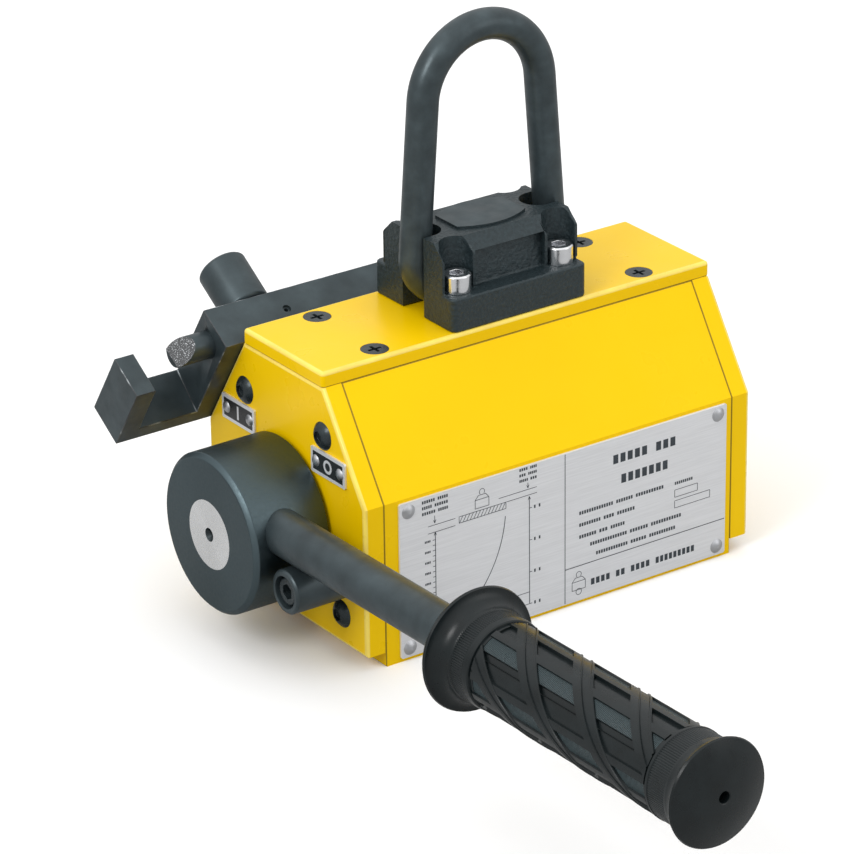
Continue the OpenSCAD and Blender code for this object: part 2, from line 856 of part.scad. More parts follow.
// Outline of the grip: x is the radius, y the distance from its inner end
module grip_outline() {
    end_y = grip_l - dome_h;
    polygon([
        [rod_r, 0], [flange_r - 1, 0], [flange_r, 0.8], [flange_r, flange_t],
        [grip_r + 3.2, flange_t + 2], [grip_r + 1, flange_t + 5], [grip_r, flange_reach + 3],
        [grip_r - 0.2, end_y - end_flange_reach], [grip_r + 0.6, end_y - 4],
        [end_flange_r - 0.6, end_y - 1.4], [end_flange_r, end_y - 0.4], [end_flange_r - 0.3, end_y + 0.6],
        [end_flange_r * 0.8, end_y + dome_h * 0.62], [end_flange_r * 0.4, end_y + dome_h * 0.93],
        [grip_hole_r, grip_l], [grip_hole_r, grip_l - rod_end_gap + 0.1], [rod_r, grip_l - rod_end_gap + 0.1]
    ]);
}

module lever_grip() {
    color(rubber) on_lever() translate([0, 0, grip_start]) rotate_extrude() grip_outline();
}

// ---------- lifting ring ----------

// Arc of round bar in the XZ plane, round [x, z], from angle a over a sweep
module bar_arc(x, z, r, a, sweep) {
    translate([x, 0, z]) rotate([90, 0, 0]) rotate(a)
        rotate_extrude(angle = sweep) translate([r, 0]) circle(r = ring_r);
}

// Straight round bar in the XZ plane from p to q, each [x, z]; it runs bar_lap into what it joins
module bar_line(p, q) {
    length = norm(q - p);
    turn = atan2(q[0] - p[0], q[1] - p[1]);
    translate([p[0], 0, p[1]]) rotate([0, turn, 0]) translate([0, 0, -bar_lap])
        cylinder(r = ring_r, h = length + 2 * bar_lap);
}

module lifting_ring() {
    color(black_steel) translate([ring_x, 0, 0]) union() {
        bar_arc(0, bow_z, bow_r, leg_lean, 180 - 2 * leg_lean);
        for (side = [0, 1]) mirror([side, 0, 0]) {
            bar_line(leg_foot, leg_top);
            bar_arc(corner_x, corner_z, corner_r, -90, 90 + leg_lean);
        }
        bar_line([-corner_x, bar_z], [corner_x, bar_z]);
    }
}

front_pole();
rear_pole();
pole_spacer();
stator_magnets();
hub_end_plate();
far_end_plate();
top_plate();
top_plate_screws();
hub_end_screws();
far_end_screws();
hub_end_bush();
far_end_bush();
nameplate();
nameplate_rivets();
on_label();
off_label();
label_rivets();
stop_post();
stop_screw();
saddle();
saddle_screws();
latch_bar();
latch_bar_screws();
latch_set_screw();
latch_spring();
rotor_shaft();
rotor_far_journal();
rotor_front_pole();
rotor_rear_pole();
rotor_magnets();
rotor_screws();
lever_hub();
hub_key();
hub_grub_screw();
lever_rod();
lever_grip();
latch_bolt();
latch_knob();
lifting_ring();
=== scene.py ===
"""Looks of a hand-switched lifting magnet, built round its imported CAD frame."""

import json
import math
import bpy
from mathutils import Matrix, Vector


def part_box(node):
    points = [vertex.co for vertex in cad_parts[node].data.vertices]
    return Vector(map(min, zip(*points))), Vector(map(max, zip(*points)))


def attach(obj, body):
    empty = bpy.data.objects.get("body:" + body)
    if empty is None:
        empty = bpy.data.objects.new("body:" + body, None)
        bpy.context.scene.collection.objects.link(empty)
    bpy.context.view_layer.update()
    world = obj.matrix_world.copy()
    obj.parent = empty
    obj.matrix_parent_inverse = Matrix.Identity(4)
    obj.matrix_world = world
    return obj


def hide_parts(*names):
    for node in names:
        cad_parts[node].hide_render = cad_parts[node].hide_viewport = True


bl_info = {
    "name": "Lifting magnet looks",
    "version": (1, 0, 0),
    "blender": (4, 5, 0),
    "location": "3D View > Sidebar > Magnet",
    "description": "Finishes and detailed pieces for a hand-switched lifting magnet",
    "category": "Object",
}

import bmesh
import bpy
from mathutils import Matrix, Vector

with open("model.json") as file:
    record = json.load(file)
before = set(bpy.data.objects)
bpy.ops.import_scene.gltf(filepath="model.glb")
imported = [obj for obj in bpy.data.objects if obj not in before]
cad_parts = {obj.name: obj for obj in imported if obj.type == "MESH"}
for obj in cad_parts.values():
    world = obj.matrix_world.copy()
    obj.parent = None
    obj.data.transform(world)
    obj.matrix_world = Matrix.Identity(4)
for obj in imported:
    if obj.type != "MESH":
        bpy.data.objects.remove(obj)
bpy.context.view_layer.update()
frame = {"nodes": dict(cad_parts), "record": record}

MM = 0.001
FULL_TURN = 2 * math.pi
MERGE = 1e-6
FLAT_ANGLE = math.radians(0.5)
CORNER_ANGLE = math.radians(28)


# ---------- settings ----------

def colour_value(label, note, value):
    return bpy.props.FloatVectorProperty(
        name=label, description=note, subtype="COLOR", size=3, min=0, max=1, default=value)


def length_value(label, note, value):
    return bpy.props.FloatProperty(
        name=label, description=note, unit="LENGTH", precision=5, min=0, default=value)


def angle_value(label, note, value):
    return bpy.props.FloatProperty(
        name=label, description=note, subtype="ANGLE", default=math.radians(value))


class MagnetColours(bpy.types.PropertyGroup):
    """Colours of the finishes"""
    paint: colour_value("Paint", "Enamel of the block", (0.95, 0.6, 0.0))
    steel: colour_value("Black steel", "Blackened steel of bar, hub and ring", (0.05, 0.068, 0.075))
    casting: colour_value("Casting", "Rough black casting of the saddle", (0.02, 0.033, 0.038))
    rubber: colour_value("Rubber", "Rubber of the grip", (0.007, 0.0105, 0.0115))
    plate: colour_value("Plate", "Bare metal of the nameplate", (0.8, 0.81, 0.83))
    ink: colour_value("Ink", "Printed lines on the nameplate", (0.03, 0.04, 0.05))
    # Paint edge: lighter yellow on the rounded edges, a painted highlight.
    paint_edge_highlight: colour_value("Paint edge", "Painted highlight on the plates' edges", (1.0, 0.72, 0.12))
    sign: colour_value("Sign", "Dark field of the switch signs", (0.012, 0.013, 0.014))
    turned: colour_value("Turned steel", "End of the shaft and the rotor", (0.9, 0.91, 0.92))
    zinc: colour_value("Zinc", "Plating of the saddle's screws", (0.78, 0.79, 0.81))
    rivet: colour_value("Rivet", "Rivets of the nameplate and the signs", (0.5, 0.51, 0.53))
    bronze: colour_value("Bronze", "Bushes and spacer", (0.5, 0.3, 0.1))
    magnet: colour_value("Magnet", "Magnet blocks inside", (0.2, 0.2, 0.22))
    floor: colour_value("Floor", "Plain floor under the magnet", (0.98, 0.98, 0.98))


class MagnetSizes(bpy.types.PropertyGroup):
    """Sizes that the looks add to the frame"""
    top_round: length_value("Top plate rounding", "Radius of the top plate's edges", 1.3 * MM)
    end_round: length_value("End plate rounding", "Radius of the end plates' outer edges", 1.3 * MM)
    seam: length_value("Seam", "Small bevel where painted pieces meet", 0.35 * MM)
    bar_edge: length_value("Bar edge", "Worn edge of the latch bar", 0.3 * MM)
    cast_edge: length_value("Cast edge", "Rounding of the saddle's edges", 0.8 * MM)
    bow_radius: length_value("Bow radius", "Centre line of the ring's upper bow", 24.8 * MM)
    corner_radius: length_value("Corner radius", "Centre line of the ring's lower corners", 13 * MM)
    leg_lean: angle_value("Leg lean", "Lean of each leg of the ring", 4.3)
    rod_rise: angle_value("Rod rise", "Rise of the lever on its stop", 1.0)
    grip_length: length_value("Grip length", "From the inner flange to the end", 128.6 * MM)
    rib_pitch: length_value("Rib pitch", "Spacing of the fine ribs in the grip's windows", 0.62 * MM)


class MagnetStage(bpy.types.PropertyGroup):
    """Camera, lights and floor"""
    azimuth: angle_value("Azimuth", "Turn of the view about the vertical", -34.9225)
    elevation: angle_value("Elevation", "Height of the view", 24.4392)
    roll: angle_value("Roll", "Turn of the camera about its own line", -0.7327)
    distance: length_value("Distance", "From the camera to its target", 1.65442)
    target: bpy.props.FloatVectorProperty(
        name="Target", description="Point in the middle of the view", subtype="XYZ",
        unit="LENGTH", size=3, default=(-0.015194, 0.011385, 0.052365))
    lens: bpy.props.FloatProperty(
        name="Lens", description="Focal length in millimetres on a 36 mm sensor", default=196.81)
    world: bpy.props.FloatProperty(
        name="World", description="Strength of the sky overhead", default=1.25)
    horizon: bpy.props.FloatProperty(
        name="Horizon", description="Strength of the sky low down", default=0.45)
    key: bpy.props.FloatProperty(name="Key", description="Power of the main light in watts", default=9)
    fill: bpy.props.FloatProperty(name="Fill", description="Power of the side light in watts", default=2.5)


class MagnetLooks(bpy.types.PropertyGroup):
    """All settings of the lifting magnet's looks"""
    colours: bpy.props.PointerProperty(type=MagnetColours, name="Colours", description="Finishes")
    sizes: bpy.props.PointerProperty(type=MagnetSizes, name="Sizes", description="Added sizes")
    stage: bpy.props.PointerProperty(type=MagnetStage, name="Stage", description="Camera and lights")


# ---------- materials ----------

NOISE_LOW = 0.3                 # noise seldom leaves the range between these two
NOISE_HIGH = 0.7
WARM_SHINE = (1.0, 0.78, 0.12, 1.0)
TOOL_MARK_PITCH = 0.35 * MM


class Finish:
    """A principled material whose nodes are added one surface effect at a time."""

    def __init__(self, name, colour, roughness, metallic=0.0):
        self.material = bpy.data.materials.new(name)
        self.material.use_nodes = True
        self.nodes = self.material.node_tree.nodes
        self.links = self.material.node_tree.links
        self.shader = self.nodes["Principled BSDF"]
        self.colour = tuple(colour) + (1.0,)
        self.shader.inputs["Base Color"].default_value = self.colour
        self.shader.inputs["Roughness"].default_value = roughness
        self.shader.inputs["Metallic"].default_value = metallic
        self.place = self.nodes.new("ShaderNodeTexCoord").outputs["Object"]
        self.height = None

    def stretched(self, factors):
        """Object coordinates with each axis multiplied."""
        mapping = self.nodes.new("ShaderNodeMapping")
        mapping.inputs["Scale"].default_value = factors
        self.links.new(self.place, mapping.inputs["Vector"])
        return mapping.outputs["Vector"]

    def noise(self, scale, detail=4.0, place=None):
        node = self.nodes.new("ShaderNodeTexNoise")
        node.inputs["Scale"].default_value = scale
        node.inputs["Detail"].default_value = detail
        self.links.new(place or self.place, node.inputs["Vector"])
        return node.outputs["Fac"]

    def math(self, operation, first, second=None):
        node = self.nodes.new("ShaderNodeMath")
        node.operation = operation
        for socket, value in zip(node.inputs, (first, second)):
            if hasattr(value, "links"):
                self.links.new(value, socket)
            elif value is not None:
                socket.default_value = value
        return node.outputs["Value"]

    def mottle(self, value, shades):
        """Base colour from value: shades is a list of (position, brightness factor)."""
        ramp = self.nodes.new("ShaderNodeValToRGB")
        stops = ramp.color_ramp.elements
        while len(stops) < len(shades):
            stops.new(0.5)
        for stop, (position, factor) in zip(stops, shades):
            stop.position = position
            stop.color = tuple(min(1.0, c * factor) for c in self.colour[:3]) + (1.0,)
        self.links.new(value, ramp.inputs["Fac"])
        self.links.new(ramp.outputs["Color"], self.shader.inputs["Base Color"])

    def gloss(self, value, low, high):
        """Roughness from low to high over the middle range of a noise."""
        node = self.nodes.new("ShaderNodeMapRange")
        node.inputs["From Min"].default_value = NOISE_LOW
        node.inputs["From Max"].default_value = NOISE_HIGH
        node.inputs["To Min"].default_value = low
        node.inputs["To Max"].default_value = high
        self.links.new(value, node.inputs["Value"])
        self.links.new(node.outputs["Result"], self.shader.inputs["Roughness"])

    def relief(self, value, depth, strength=1.0):
        """Adds a bump of the given depth in metres."""
        bump = self.nodes.new("ShaderNodeBump")
        bump.inputs["Distance"].default_value = depth
        bump.inputs["Strength"].default_value = strength
        self.links.new(value, bump.inputs["Height"])
        if self.height:
            self.links.new(self.height, bump.inputs["Normal"])
        self.height = bump.outputs["Normal"]
        self.links.new(self.height, self.shader.inputs["Normal"])


def enamel(name, colour):
    """Glossy sprayed enamel with a faint orange peel."""
    f = Finish(name, colour, 0.3)
    f.shader.inputs["Specular Tint"].default_value = WARM_SHINE
    f.mottle(f.noise(14, 3), [(0.3, 0.97), (0.7, 1.02)])
    f.gloss(f.noise(60, 3), 0.26, 0.36)
    f.relief(f.noise(420, 2), 0.00006, 0.35)
    return f.material


def bare_paint(name, colour, roughness=0.4):
    """Paint made lighter on an edge as a painted highlight, or darker in a seam as painted shade."""
    f = Finish(name, colour, roughness)
    f.mottle(f.noise(90, 4), [(0.3, 0.9), (0.7, 1.1)])
    f.gloss(f.noise(200, 3), roughness - 0.08, roughness + 0.08)
    f.relief(f.noise(600, 2), 0.00003, 0.3)
    return f.material


def blackened(name, colour, roughness=0.4, scale=90):
    """Oil-blackened steel with cloudy shade and fine scratches."""
    f = Finish(name, colour, roughness, 0.5)
    f.mottle(f.noise(scale, 6), [(0.3, 0.72), (0.55, 1.0), (0.75, 1.3)])
    f.gloss(f.noise(scale * 3, 5), roughness - 0.1, roughness + 0.05)
    f.relief(f.noise(1400, 3), 0.00004, 0.4)
    f.relief(f.noise(900, 3, f.stretched((0.08, 1, 1))), 0.00003, 0.35)
    return f.material


def cast_iron(name, colour):
    """Black painted sand casting."""
    f = Finish(name, colour, 0.5, 0.25)
    grain = f.noise(800, 6)
    f.mottle(grain, [(0.35, 0.8), (0.5, 1.0), (0.7, 1.25)])
    f.gloss(f.noise(500, 4), 0.36, 0.5)
    f.relief(grain, 0.0006, 0.8)
    return f.material


def bright_metal(name, colour, roughness=0.22, place_scale=(1, 1, 1), scale=500, metallic=1.0):
    """Bare or plated bright metal with a fine lay."""
    f = Finish(name, colour, roughness, metallic)
    lay = f.noise(scale, 5, f.stretched(place_scale))
    f.mottle(lay, [(0.3, 0.94), (0.7, 1.04)])
    f.gloss(lay, roughness - 0.05, roughness + 0.06)
    f.relief(lay, 0.00001, 0.25)
    return f.material


def turned_metal(name, colour, centre, roughness=0.29, anisotropy=0.75):
    """Turned face: fine rings about the shaft's axis, which runs along x."""
    f = Finish(name, colour, roughness, 1.0)
    parts = f.nodes.new("ShaderNodeSeparateXYZ")
    f.links.new(f.place, parts.inputs["Vector"])
    across = f.math("SUBTRACT", parts.outputs["Y"], centre[0])
    upward = f.math("SUBTRACT", parts.outputs["Z"], centre[1])
    radius = f.math("SQRT", f.math("ADD", f.math("POWER", across, 2.0), f.math("POWER", upward, 2.0)))
    tool_mark = f.math("SINE", f.math("MULTIPLY", radius, FULL_TURN / TOOL_MARK_PITCH))
    f.mottle(f.noise(40, 5), [(0.3, 0.92), (0.7, 1.04)])
    f.gloss(f.noise(900, 3), roughness - 0.05, roughness + 0.05)
    f.relief(tool_mark, 0.000003, 0.12)
    round_the_axis = f.nodes.new("ShaderNodeTangent")
    round_the_axis.direction_type = "RADIAL"
    round_the_axis.axis = "X"
    f.links.new(round_the_axis.outputs["Tangent"], f.shader.inputs["Tangent"])
    f.shader.inputs["Anisotropic"].default_value = anisotropy
    return f.material


def worn_metal(name):
    """Bare steel rubbed through its black finish, bright and dark in specks."""
    f = Finish(name, (0.3, 0.31, 0.32), 0.4, 0.6)
    specks = f.noise(2600, 8)
    f.mottle(specks, [(0.5, 0.2), (0.6, 0.5), (0.68, 2.4)])
    f.gloss(specks, 0.3, 0.55)
    f.relief(specks, 0.0001, 0.5)
    return f.material


def edge_wear(name):
    """Black finish with the steel showing here and there, for rubbed edges."""
    f = Finish(name, (0.12, 0.13, 0.135), 0.35, 0.7)
    rubbed = f.noise(160, 8)
    f.mottle(rubbed, [(0.4, 0.45), (0.56, 1.0), (0.66, 4.0)])
    f.gloss(rubbed, 0.28, 0.42)
    f.relief(f.noise(900, 4), 0.00005, 0.5)
    return f.material


def moulded_rubber(name, colour, pitch=None):
    """Moulded black rubber; with a pitch, fine ribs that run round the grip, coloured lighter at their
    crests as a painted highlight.
    """
    f = Finish(name, colour, 0.36)
    f.shader.inputs["Specular IOR Level"].default_value = 0.3
    if pitch:
        parts = f.nodes.new("ShaderNodeSeparateXYZ")
        f.links.new(f.place, parts.inputs["Vector"])
        ribs = f.math("SINE", f.math("MULTIPLY", parts.outputs["Y"], FULL_TURN / pitch))
        # Ribs are coloured two to ten times lighter than the rubber, brightest on their crests: a painted
        # highlight.
        f.mottle(ribs, [(0.0, 2.0), (0.9, 10.0)])
        f.relief(ribs, 0.00012, 0.8)
    else:
        f.mottle(f.noise(120, 5), [(0.3, 0.8), (0.7, 1.3)])
    f.gloss(f.noise(240, 5), 0.24, 0.36)
    f.relief(f.noise(1600, 3), 0.00004, 0.45)
    return f.material


def plain_grained(name, colour, roughness, metallic):
    """Quiet finish for pieces inside the block."""
    f = Finish(name, colour, roughness, metallic)
    grain = f.noise(300, 5)
    f.mottle(grain, [(0.3, 0.8), (0.7, 1.15)])
    f.gloss(grain, roughness - 0.08, roughness + 0.1)
    f.relief(grain, 0.00004, 0.4)
    return f.material


# Darker paint on the seam bevels: painted shade in the gaps between parts.
SEAM_SHADE = 0.4
SCREW_SHADE = 0.6
MILLED_SHEEN = 1.5
HUB_SHEEN = 1.6


def shaded(colour, factor):
    return tuple(v * factor for v in colour)


def hub_centre():
    """y and z of the shaft's axis."""
    low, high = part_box("lever_hub")
    return (low.y + high.y) / 2, (low.z + high.z) / 2


def make_finishes(looks):
    """Every material by its short name."""
    c = looks.colours
    return {
        "paint": enamel("yellow_paint", c.paint),
        "paint_edge_highlight": bare_paint("paint_edge_highlight", c.paint_edge_highlight, 0.3),
        "paint_seam_shade": bare_paint("paint_seam_shade", shaded(c.paint, SEAM_SHADE), 0.6),
        "steel": blackened("black_steel", c.steel),
        "forged": blackened("forged_steel", c.steel, 0.38, 140),
        "screw": blackened("black_screw", shaded(c.steel, SCREW_SHADE), 0.3, 300),
        "cast": cast_iron("cast_black", c.casting),
        "milled": blackened("milled_pad", shaded(c.casting, MILLED_SHEEN), 0.4, 60),
        "edge": edge_wear("edge_wear"),
        "worn": worn_metal("worn_steel"),
        "turned": turned_metal("bright_steel", c.turned, hub_centre()),
        "hub": turned_metal("turned_black", shaded(c.steel, HUB_SHEEN), hub_centre(), 0.42, 0.5),
        "zinc": bright_metal("zinc", c.zinc, 0.18),
        "rivet": bright_metal("rivet_metal", c.rivet, 0.42),
        "plate": bright_metal("plate_silver", c.plate, 0.42, (0.03, 1, 1), 2600, 0.45),
        "ink": plain_grained("printed_ink", c.ink, 0.5, 0.0),
        "enamel": plain_grained("sign_enamel", c.sign, 0.3, 0.0),
        "rubber": moulded_rubber("rubber_black", c.rubber),
        "ribbed": moulded_rubber("rubber_ribbed_highlight", c.rubber, looks.sizes.rib_pitch),
        "bronze": plain_grained("bronze", c.bronze, 0.35, 1.0),
        "magnet": plain_grained("magnet_grey", c.magnet, 0.45, 0.8),
    }


FINISHES = {}


def finish(name):
    if not FINISHES:
        FINISHES.update(make_finishes(bpy.context.scene.magnet_looks))
    return FINISHES[name]


# ---------- shared mesh work ----------

def body_of_node(node):
    for body, members in frame["record"]["behaviour"]["bodies"].items():
        if node in members:
            return body
    raise RuntimeError("no body holds " + node)


def add_piece(name, bm, finishes, node):
    """Makes a finished object from bm that rides on the body of node."""
    mesh = bpy.data.meshes.new(name)
    bm.to_mesh(mesh)
    bm.free()
    mesh.shade_smooth()
    mesh.set_sharp_from_angle(angle=CORNER_ANGLE)
    for key in finishes:
        mesh.materials.append(finish(key))
    piece = bpy.data.objects.new(name, mesh)
    bpy.context.scene.collection.objects.link(piece)
    even = piece.modifiers.new("flat_faces_stay_flat", "WEIGHTED_NORMAL")
    even.keep_sharp = True
    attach(piece, body_of_node(node))
    return piece


def cad_copy(node):
    """A clean copy of a CAD node's mesh: shared points, and flat faces in one piece."""
    bm = bmesh.new()
    bm.from_mesh(frame["nodes"][node].data)
    bmesh.ops.remove_doubles(bm, verts=bm.verts, dist=MERGE)
    bmesh.ops.dissolve_limit(
        bm, angle_limit=FLAT_ANGLE, verts=bm.verts, edges=bm.edges, use_dissolve_boundaries=False)
    return bm


def sharp_edges(bm, wanted=None):
    found = []
    for edge in bm.edges:
        if len(edge.link_faces) == 2 and edge.calc_face_angle(0) > CORNER_ANGLE:
            if wanted is None or wanted(edge):
                found.append(edge)
    return found


def soften(bm, edges, width, segments=2, edge_slot=-1):
    """Rounds the given edges; the new faces may take a material slot of their own."""
    bmesh.ops.bevel(
        bm, geom=edges, offset=width, offset_type="OFFSET", segments=segments, profile=0.5,
        affect="EDGES", clamp_overlap=False, material=edge_slot)


def soft_copy(node, width, finishes, segments=2, edge_slot=-1, wanted=None):
    """A CAD node's shape with its sharp edges rounded, shown in the node's place."""
    bm = cad_copy(node)
    soften(bm, sharp_edges(bm, wanted), width, segments, edge_slot)
    piece = add_piece(node + "_finished", bm, finishes, node)
    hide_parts(node)
    return piece


def dress(node, key):
    """Gives a CAD node that is shown as it is one of the finishes."""
    mesh = frame["nodes"][node].data
    mesh.materials.clear()
    mesh.materials.append(finish(key))


def block(bm, low, high, slot=0):
    """An upright box between two corners."""
    size = Vector(high) - Vector(low)
    middle = (Vector(high) + Vector(low)) / 2
    made = bmesh.ops.create_cube(bm, size=1)["verts"]
    bmesh.ops.scale(bm, vec=size, verts=made)
    bmesh.ops.translate(bm, vec=middle, verts=made)
    for face in {f for v in made for f in v.link_faces}:
        face.material_index = slot
    return made


def spun(bm, profile, steps):
    """Turns a closed outline of (radius, height) points about the z axis."""
    points = [bm.verts.new((r, 0, z)) for r, z in profile]
    edges = [bm.edges.new(pair) for pair in zip(points, points[1:] + points[:1])]
    bmesh.ops.spin(
        bm, geom=points + edges, cent=(0, 0, 0), axis=(0, 0, 1), angle=FULL_TURN,
        steps=steps, use_merge=True, use_duplicate=False)


def tidy_shell(bm):
    bmesh.ops.remove_doubles(bm, verts=bm.verts, dist=MERGE)
    bmesh.ops.recalc_face_normals(bm, faces=bm.faces)


# ---------- block ----------

SHORTEST_SIDE = 6 * MM


def long_edge(edge):
    """True on the straight edges of an outline, and not on the rim of a hole."""
    return edge.calc_length() > SHORTEST_SIDE


def make_poles(sizes):
    """The two halves of the block, with fine seams where the plates meet them, painted darker as painted
    shade.
    """
    for node in ("front_pole", "rear_pole"):
        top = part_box(node)[1].z

        def seam(edge):
            on_top = all(v.co.z > top - MERGE for v in edge.verts)
            at_end = abs(edge.verts[0].co.x - edge.verts[1].co.x) < MERGE
            return long_edge(edge) and (on_top or at_end)

        bm = cad_copy(node)
        folds = sharp_edges(bm, lambda e: long_edge(e) and not seam(e))
        # The seam bevels take slot 1, the darker paint: painted shade where the plates meet the poles.
        soften(bm, sharp_edges(bm, seam), sizes.seam, 2, 1)
        soften(bm, [e for e in folds if e.is_valid], sizes.seam)
        piece = add_piece(node + "_finished", bm, ["paint", "paint_seam_shade"], node)
        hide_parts(node)


def make_end_plate(node, sizes):
    """End plate: well rounded outside and painted lighter there as a painted highlight, with a fine seam
    painted darker as painted shade where it meets the poles.
    """
    low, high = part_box(node)
    outside = low.x if low.x < 0 else high.x
    behind = 4 * MM
    bm = cad_copy(node)

    def outer(edge):
        return long_edge(edge) and all(abs(v.co.x - outside) < MM / 10 for v in edge.verts)

    def inner(edge):
        return long_edge(edge) and all(abs(v.co.x - outside) > behind for v in edge.verts)

    # The outer rounding takes slot 1, the lighter paint: a painted highlight.
    soften(bm, sharp_edges(bm, outer), sizes.end_round, 4, 1)
    # The inner edges' bevels take slot 2, the darker paint: painted shade where the plate meets the poles.
    soften(bm, sharp_edges(bm, inner), sizes.seam, 2, 2)
    piece = add_piece(
        node + "_finished", bm, ["paint", "paint_edge_highlight", "paint_seam_shade"], node)
    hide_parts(node)


def make_top_plate(sizes):
    """Top plate with a full rounding on its upper rim, painted lighter as a painted highlight, and a seam
    under it painted darker as painted shade.
    """
    low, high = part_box("top_plate")
    rim = 1.5 * MM
    bm = cad_copy("top_plate")

    def on_rim(edge):
        middle = (edge.verts[0].co + edge.verts[1].co) / 2
        beside = middle.x < low.x + rim or middle.x > high.x - rim
        return beside or middle.y < low.y + rim or middle.y > high.y - rim

    def level(edge, z):
        return on_rim(edge) and all(abs(v.co.z - z) < MM / 10 for v in edge.verts)

    # The upper rim's rounding takes slot 1, the lighter paint: a painted highlight.
    soften(bm, sharp_edges(bm, lambda e: level(e, high.z)), sizes.top_round, 5, 1)
    # The lower rim's bevel takes slot 2, the darker paint: painted shade under the plate.
    soften(bm, sharp_edges(bm, lambda e: level(e, low.z)), sizes.seam, 2, 2)
    finishes = ["paint", "paint_edge_highlight", "paint_seam_shade"]
    piece = add_piece("top_plate_finished", bm, finishes, "top_plate")
    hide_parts("top_plate")


# ---------- nameplate and signs ----------

# Layout of the print, in millimetres from the plate's lower left corner
PLATE_FACE_LIFT = 0.05
LINE = 0.28
FINE = 0.2


class Print:
    """Draws thin raised lines of ink on a plate that faces -y."""

    def __init__(self, node):
        low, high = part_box(node)
        self.bm = bmesh.new()
        self.left = low.x
        self.foot = low.z
        self.face = low.y
        self.width = (high.x - low.x) / MM
        self.height = (high.z - low.z) / MM

    def bar(self, x0, z0, x1, z1):
        """A filled rectangle."""
        low = (self.left + min(x0, x1) * MM, self.face - PLATE_FACE_LIFT * MM, self.foot + min(z0, z1) * MM)
        high = (self.left + max(x0, x1) * MM, self.face + 0.1 * MM, self.foot + max(z0, z1) * MM)
        return block(self.bm, low, high)

    def line(self, start, end, width=LINE):
        """A straight line of ink between two points."""
        start = Vector(start)
        end = Vector(end)
        run = end - start
        made = self.bar(0, -width / 2, run.length, width / 2)
        centre = (self.left, self.face, self.foot)
        turn = Matrix.Rotation(-math.atan2(run.y, run.x), 3, "Y")
        bmesh.ops.rotate(self.bm, verts=made, cent=centre, matrix=turn)
        bmesh.ops.translate(self.bm, verts=made, vec=(start.x * MM, 0, start.y * MM))

    def frame(self, x0, z0, x1, z1):
        """An empty rectangle."""
        corners = [(x0, z0), (x1, z0), (x1, z1), (x0, z1)]
        for a, b in zip(corners, corners[1:] + corners[:1]):
            self.line(a, b, FINE)

    def row(self, x0, x1, z, height, words):
        """A row of small blank blocks that stands where writing would be."""
        gap = 0.9 * height
        room = x1 - x0 - gap * (len(words) - 1)
        at = x0
        for share in words:
            length = room * share / sum(words)
            count = max(1, round(length / (0.85 * height)))
            pitch = length / count
            for n in range(count):
                self.bar(at + n * pitch, z, at + (n + 0.68) * pitch, z + height)
            at += length + gap

    def arc(self, centre, radius, start, end, steps=24, width=LINE):
        """A round line from one angle to another, in degrees."""
        points = []
        for n in range(steps + 1):
            a = math.radians(start + (end - start) * n / steps)
            points.append((centre[0] + radius * math.cos(a), centre[1] + radius * math.sin(a)))
        for a, b in zip(points, points[1:]):
            self.line(a, b, width)

    def arrow(self, tip, up):
        """A small arrow head that points up or down."""
        for side in (-0.5, 0.5):
            self.line(tip, (tip[0] + side, tip[1] - 1.2 * up), FINE)


def draw_magnet_sign(ink, x, foot):
    """Outline of a lifting magnet, seen from its end."""
    half = 2.9
    neck = 1.5
    wall = 3.2
    top = 4.8
    bow = 1.1
    ink.frame(x - half, foot, x + half, foot + wall)
    for side in (-1, 1):
        ink.line((x + side * half, foot + wall), (x + side * neck, foot + top), FINE)
    ink.line((x - neck, foot + top), (x + neck, foot + top), FINE)
    ink.arc((x, foot + top + bow), bow, -45, 225, 16, FINE)


CHART_LEFT = 14.8
CHART_RIGHT = 54.6
CHART_FOOT = 5.2
TICK = 1.1


def draw_scales(ink):
    """Two upright scales with arrow tips: fine ticks on the left, coarse ones on the right."""
    left_top = 44.4
    right_top = 46.6
    fine_from = 7.5
    fine_pitch = 2
    fine_ticks = 18
    coarse_pitch = 12.3
    coarse_ticks = 4
    ink.line((CHART_LEFT, CHART_FOOT + 0.8), (CHART_LEFT, left_top))
    ink.line((CHART_RIGHT, CHART_FOOT), (CHART_RIGHT, right_top))
    ink.arrow((CHART_LEFT, left_top), 1)
    ink.arrow((CHART_RIGHT, right_top), 1)
    for n in range(fine_ticks):
        z = fine_from + n * fine_pitch
        ink.line((CHART_LEFT - TICK, z), (CHART_LEFT, z), FINE)
        if n % 2:
            ink.row(CHART_LEFT - 4 * TICK, CHART_LEFT - 1.9, z - 0.4, 0.8, [1])
    for n in range(coarse_ticks):
        z = CHART_FOOT + n * coarse_pitch
        ink.line((CHART_RIGHT, z), (CHART_RIGHT + TICK, z), FINE)
        ink.row(CHART_RIGHT + 2, CHART_RIGHT + 5, z - 0.6, 1.2, [1, 1])


def draw_captions(ink):
    """Blank captions of three rows, each with an arrow down to a pair of level lines."""
    for z in (44.4, 47.1):
        ink.line((11.8, z), (23.2, z), FINE)
    for z, start in ((49.4, 41.6), (47.2, 44.8)):
        ink.line((start, z), (57.8, z), FINE)
    for x0, x1, top, pitch, height in ((9.4, 20.4, 56.2, 2.2, 1.1), (50.4, 58, 57, 2.1, 1.0)):
        for n, words in enumerate(([5, 4], [3, 4], [4, 3])):
            ink.row(x0, x1, top - n * pitch, height, words)
    for x, top, tip in ((14.6, 50.6, 47.8), (54, 52, 49.9)):
        ink.line((x, top), (x, tip), FINE)
        ink.arrow((x, tip), -1)


